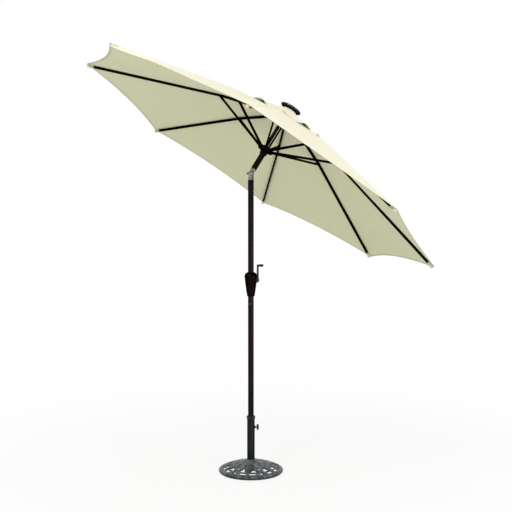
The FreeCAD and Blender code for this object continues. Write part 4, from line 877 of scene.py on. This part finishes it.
def make_vent_cap():
    """The cap as one ring of cloth from the stud's hole to the hem, with its stitches."""
    outs = steps_to(CAP_HOLE, DOME_OUT, DOME_ROWS)
    outs += steps_to(DOME_OUT, CAP_OUT * CAP_EDGE_IN, SIDE_ROWS)[1:] + [CAP_OUT * CAP_EDGE]
    corner = on_mast @ Matrix.Rotation(rib_turn(1), 4, "Z")
    grid, uvs, doubled = [], [], []
    for out in outs:
        row, places, folds = [], [], []
        for s in range(CAP_STEPS + 1):
            spot = cap_point(out, tau * s / CAP_STEPS)
            beside_seam = (s + 1) % (CAP_STEPS // 8) < 3 and out > DOME_OUT
            row.append(corner @ spot)
            places.append((tau * s / CAP_STEPS * out, out))
            folds.append(1.0 if beside_seam or out > CAP_OUT * CAP_HEM else 0.0)
        grid.append(row[:-1])
        uvs.append(places)
        doubled.append(folds[:-1])
    made = sheet_from("vent_cap_cloth", grid, CLOTH, (cloth_outside, cap_underside_backlit), uvs, doubled,
                      round_trip=True)
    hem = [cap_point(CAP_OUT * CAP_STITCHED, heading) for heading in steps_to(0, tau, CAP_STITCH_STEPS)]
    sewing = grown("vent_cap_stitches", sewn_lines([
        [corner @ (p + Vector((0, 0, height))) for p in hem] for height in (FOLD_STEP / 2, -CLOTH)
    ]), stitches, material=thread_ivory)
    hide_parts("vent_cap")
    for piece in (made, sewing):
        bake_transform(piece)


make_vent_cap()

# ------------------------------------------------------------------ solar disc
# A round dark housing on a stud in the top hub.  Its flat window covers a blue-black solar cell with
# a fine silver grid.

WINDOW_OUT, WINDOW_HEIGHT = 0.052, 0.516
CELL_BLUE, GRID_SILVER = (0.006, 0.009, 0.024), (0.16, 0.17, 0.19)
# For each set of grid lines: the axis they are counted along, their pitch, and a line's share of it.
GRID_LINES = ((0, 0.0035, 0.10), (1, 0.026, 0.05))


def solar_material():
    """Housing plastic all over, and the cell with its grid inside the window."""
    material = finish_of("solar_housing", (0.040, 0.037, 0.047), (0.054, 0.050, 0.062), cloud=30, grain=1200,
                         bump=0.0001, wear=0.1, roughness=(0.30, 0.40), metallic=1.0, specular_tint=DARK_EDGE)
    tree = material.node_tree
    shader = tree.nodes["Principled BSDF"]
    housing = shader.inputs["Base Color"].links[0].from_socket
    upright = add_node(tree, "Mapping", {"Vector": object_place(tree), "Location": mast_foot,
                                         "Rotation": on_mast.to_euler()}, vector_type="TEXTURE")
    parts = add_node(tree, "SeparateXYZ", {0: upright.outputs[0]})
    level = add_node(tree, "CombineXYZ", {0: parts.outputs[0], 1: parts.outputs[1]})
    out = add_node(tree, "VectorMath", {0: level.outputs[0]}, operation="LENGTH")
    near = worked_out(tree, "LESS_THAN", out.outputs["Value"], WINDOW_OUT)
    high = worked_out(tree, "GREATER_THAN", parts.outputs[2], WINDOW_HEIGHT)
    window = worked_out(tree, "MULTIPLY", near, high)
    lines = []
    for axis, pitch, share in GRID_LINES:
        within = worked_out(tree, "FRACT", worked_out(tree, "DIVIDE", parts.outputs[axis], pitch))
        lines.append(worked_out(tree, "LESS_THAN", within, share))
    cell = mixed(tree, worked_out(tree, "MAXIMUM", *lines), CELL_BLUE, GRID_SILVER)
    tree.links.new(mixed(tree, window, housing, cell), shader.inputs["Base Color"])
    return material


give(solar_material(), "solar_disc")
give(zinc, "finial_stud")

# ------------------------------------------------------------------ lift cord
# White braided cord from the runner up to the top hub, tight beside the mast.  It lifts the runner
# when the crank is turned, so it shortens as the runner rises.

CORD_AROUND, CORD_ROWS = 12, 60
BRAID_TURNS, BRAID_RIDGES, BRAID_RISE = 32, 3, 0.08
cord_white = finish_of("cord_white", (0.72, 0.72, 0.68), (0.85, 0.85, 0.80), cloud=900, grain=3000,
                       bump=0.0002, roughness=(0.7, 0.85))


def make_lift_cord():
    """A tube with the three ridges of its braid winding round it."""
    spots = [off_mast @ v.co for v in nodes["lift_cord"].data.vertices]
    bottom, top = min(p.z for p in spots), max(p.z for p in spots)
    middle = sum(spots, Vector()) / len(spots)
    radius = max((p - middle).xy.length for p in spots)
    bm = bmesh.new()
    rings = []
    for r in range(CORD_ROWS + 1):
        share, ring = r / CORD_ROWS, []
        for a in range(CORD_AROUND):
            angle = tau * a / CORD_AROUND
            out = radius * (1 + BRAID_RISE * cos(BRAID_RIDGES * angle + tau * BRAID_TURNS * share))
            ring.append(bm.verts.new(on_mast @ Vector((
                middle.x + out * cos(angle), middle.y + out * sin(angle), bottom + (top - bottom) * share,
            ))))
        rings.append(ring)
    for one, two in zip(rings, rings[1:]):
        for a in range(CORD_AROUND):
            b = (a + 1) % CORD_AROUND
            bm.faces.new((one[a], one[b], two[b], two[a])).smooth = True
    bm.faces.new(rings[0][::-1])
    bm.faces.new(rings[-1])
    made = placed_from(bm, "lift_cord_braid", cord_white)
    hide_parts("lift_cord")
    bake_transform(made)


make_lift_cord()
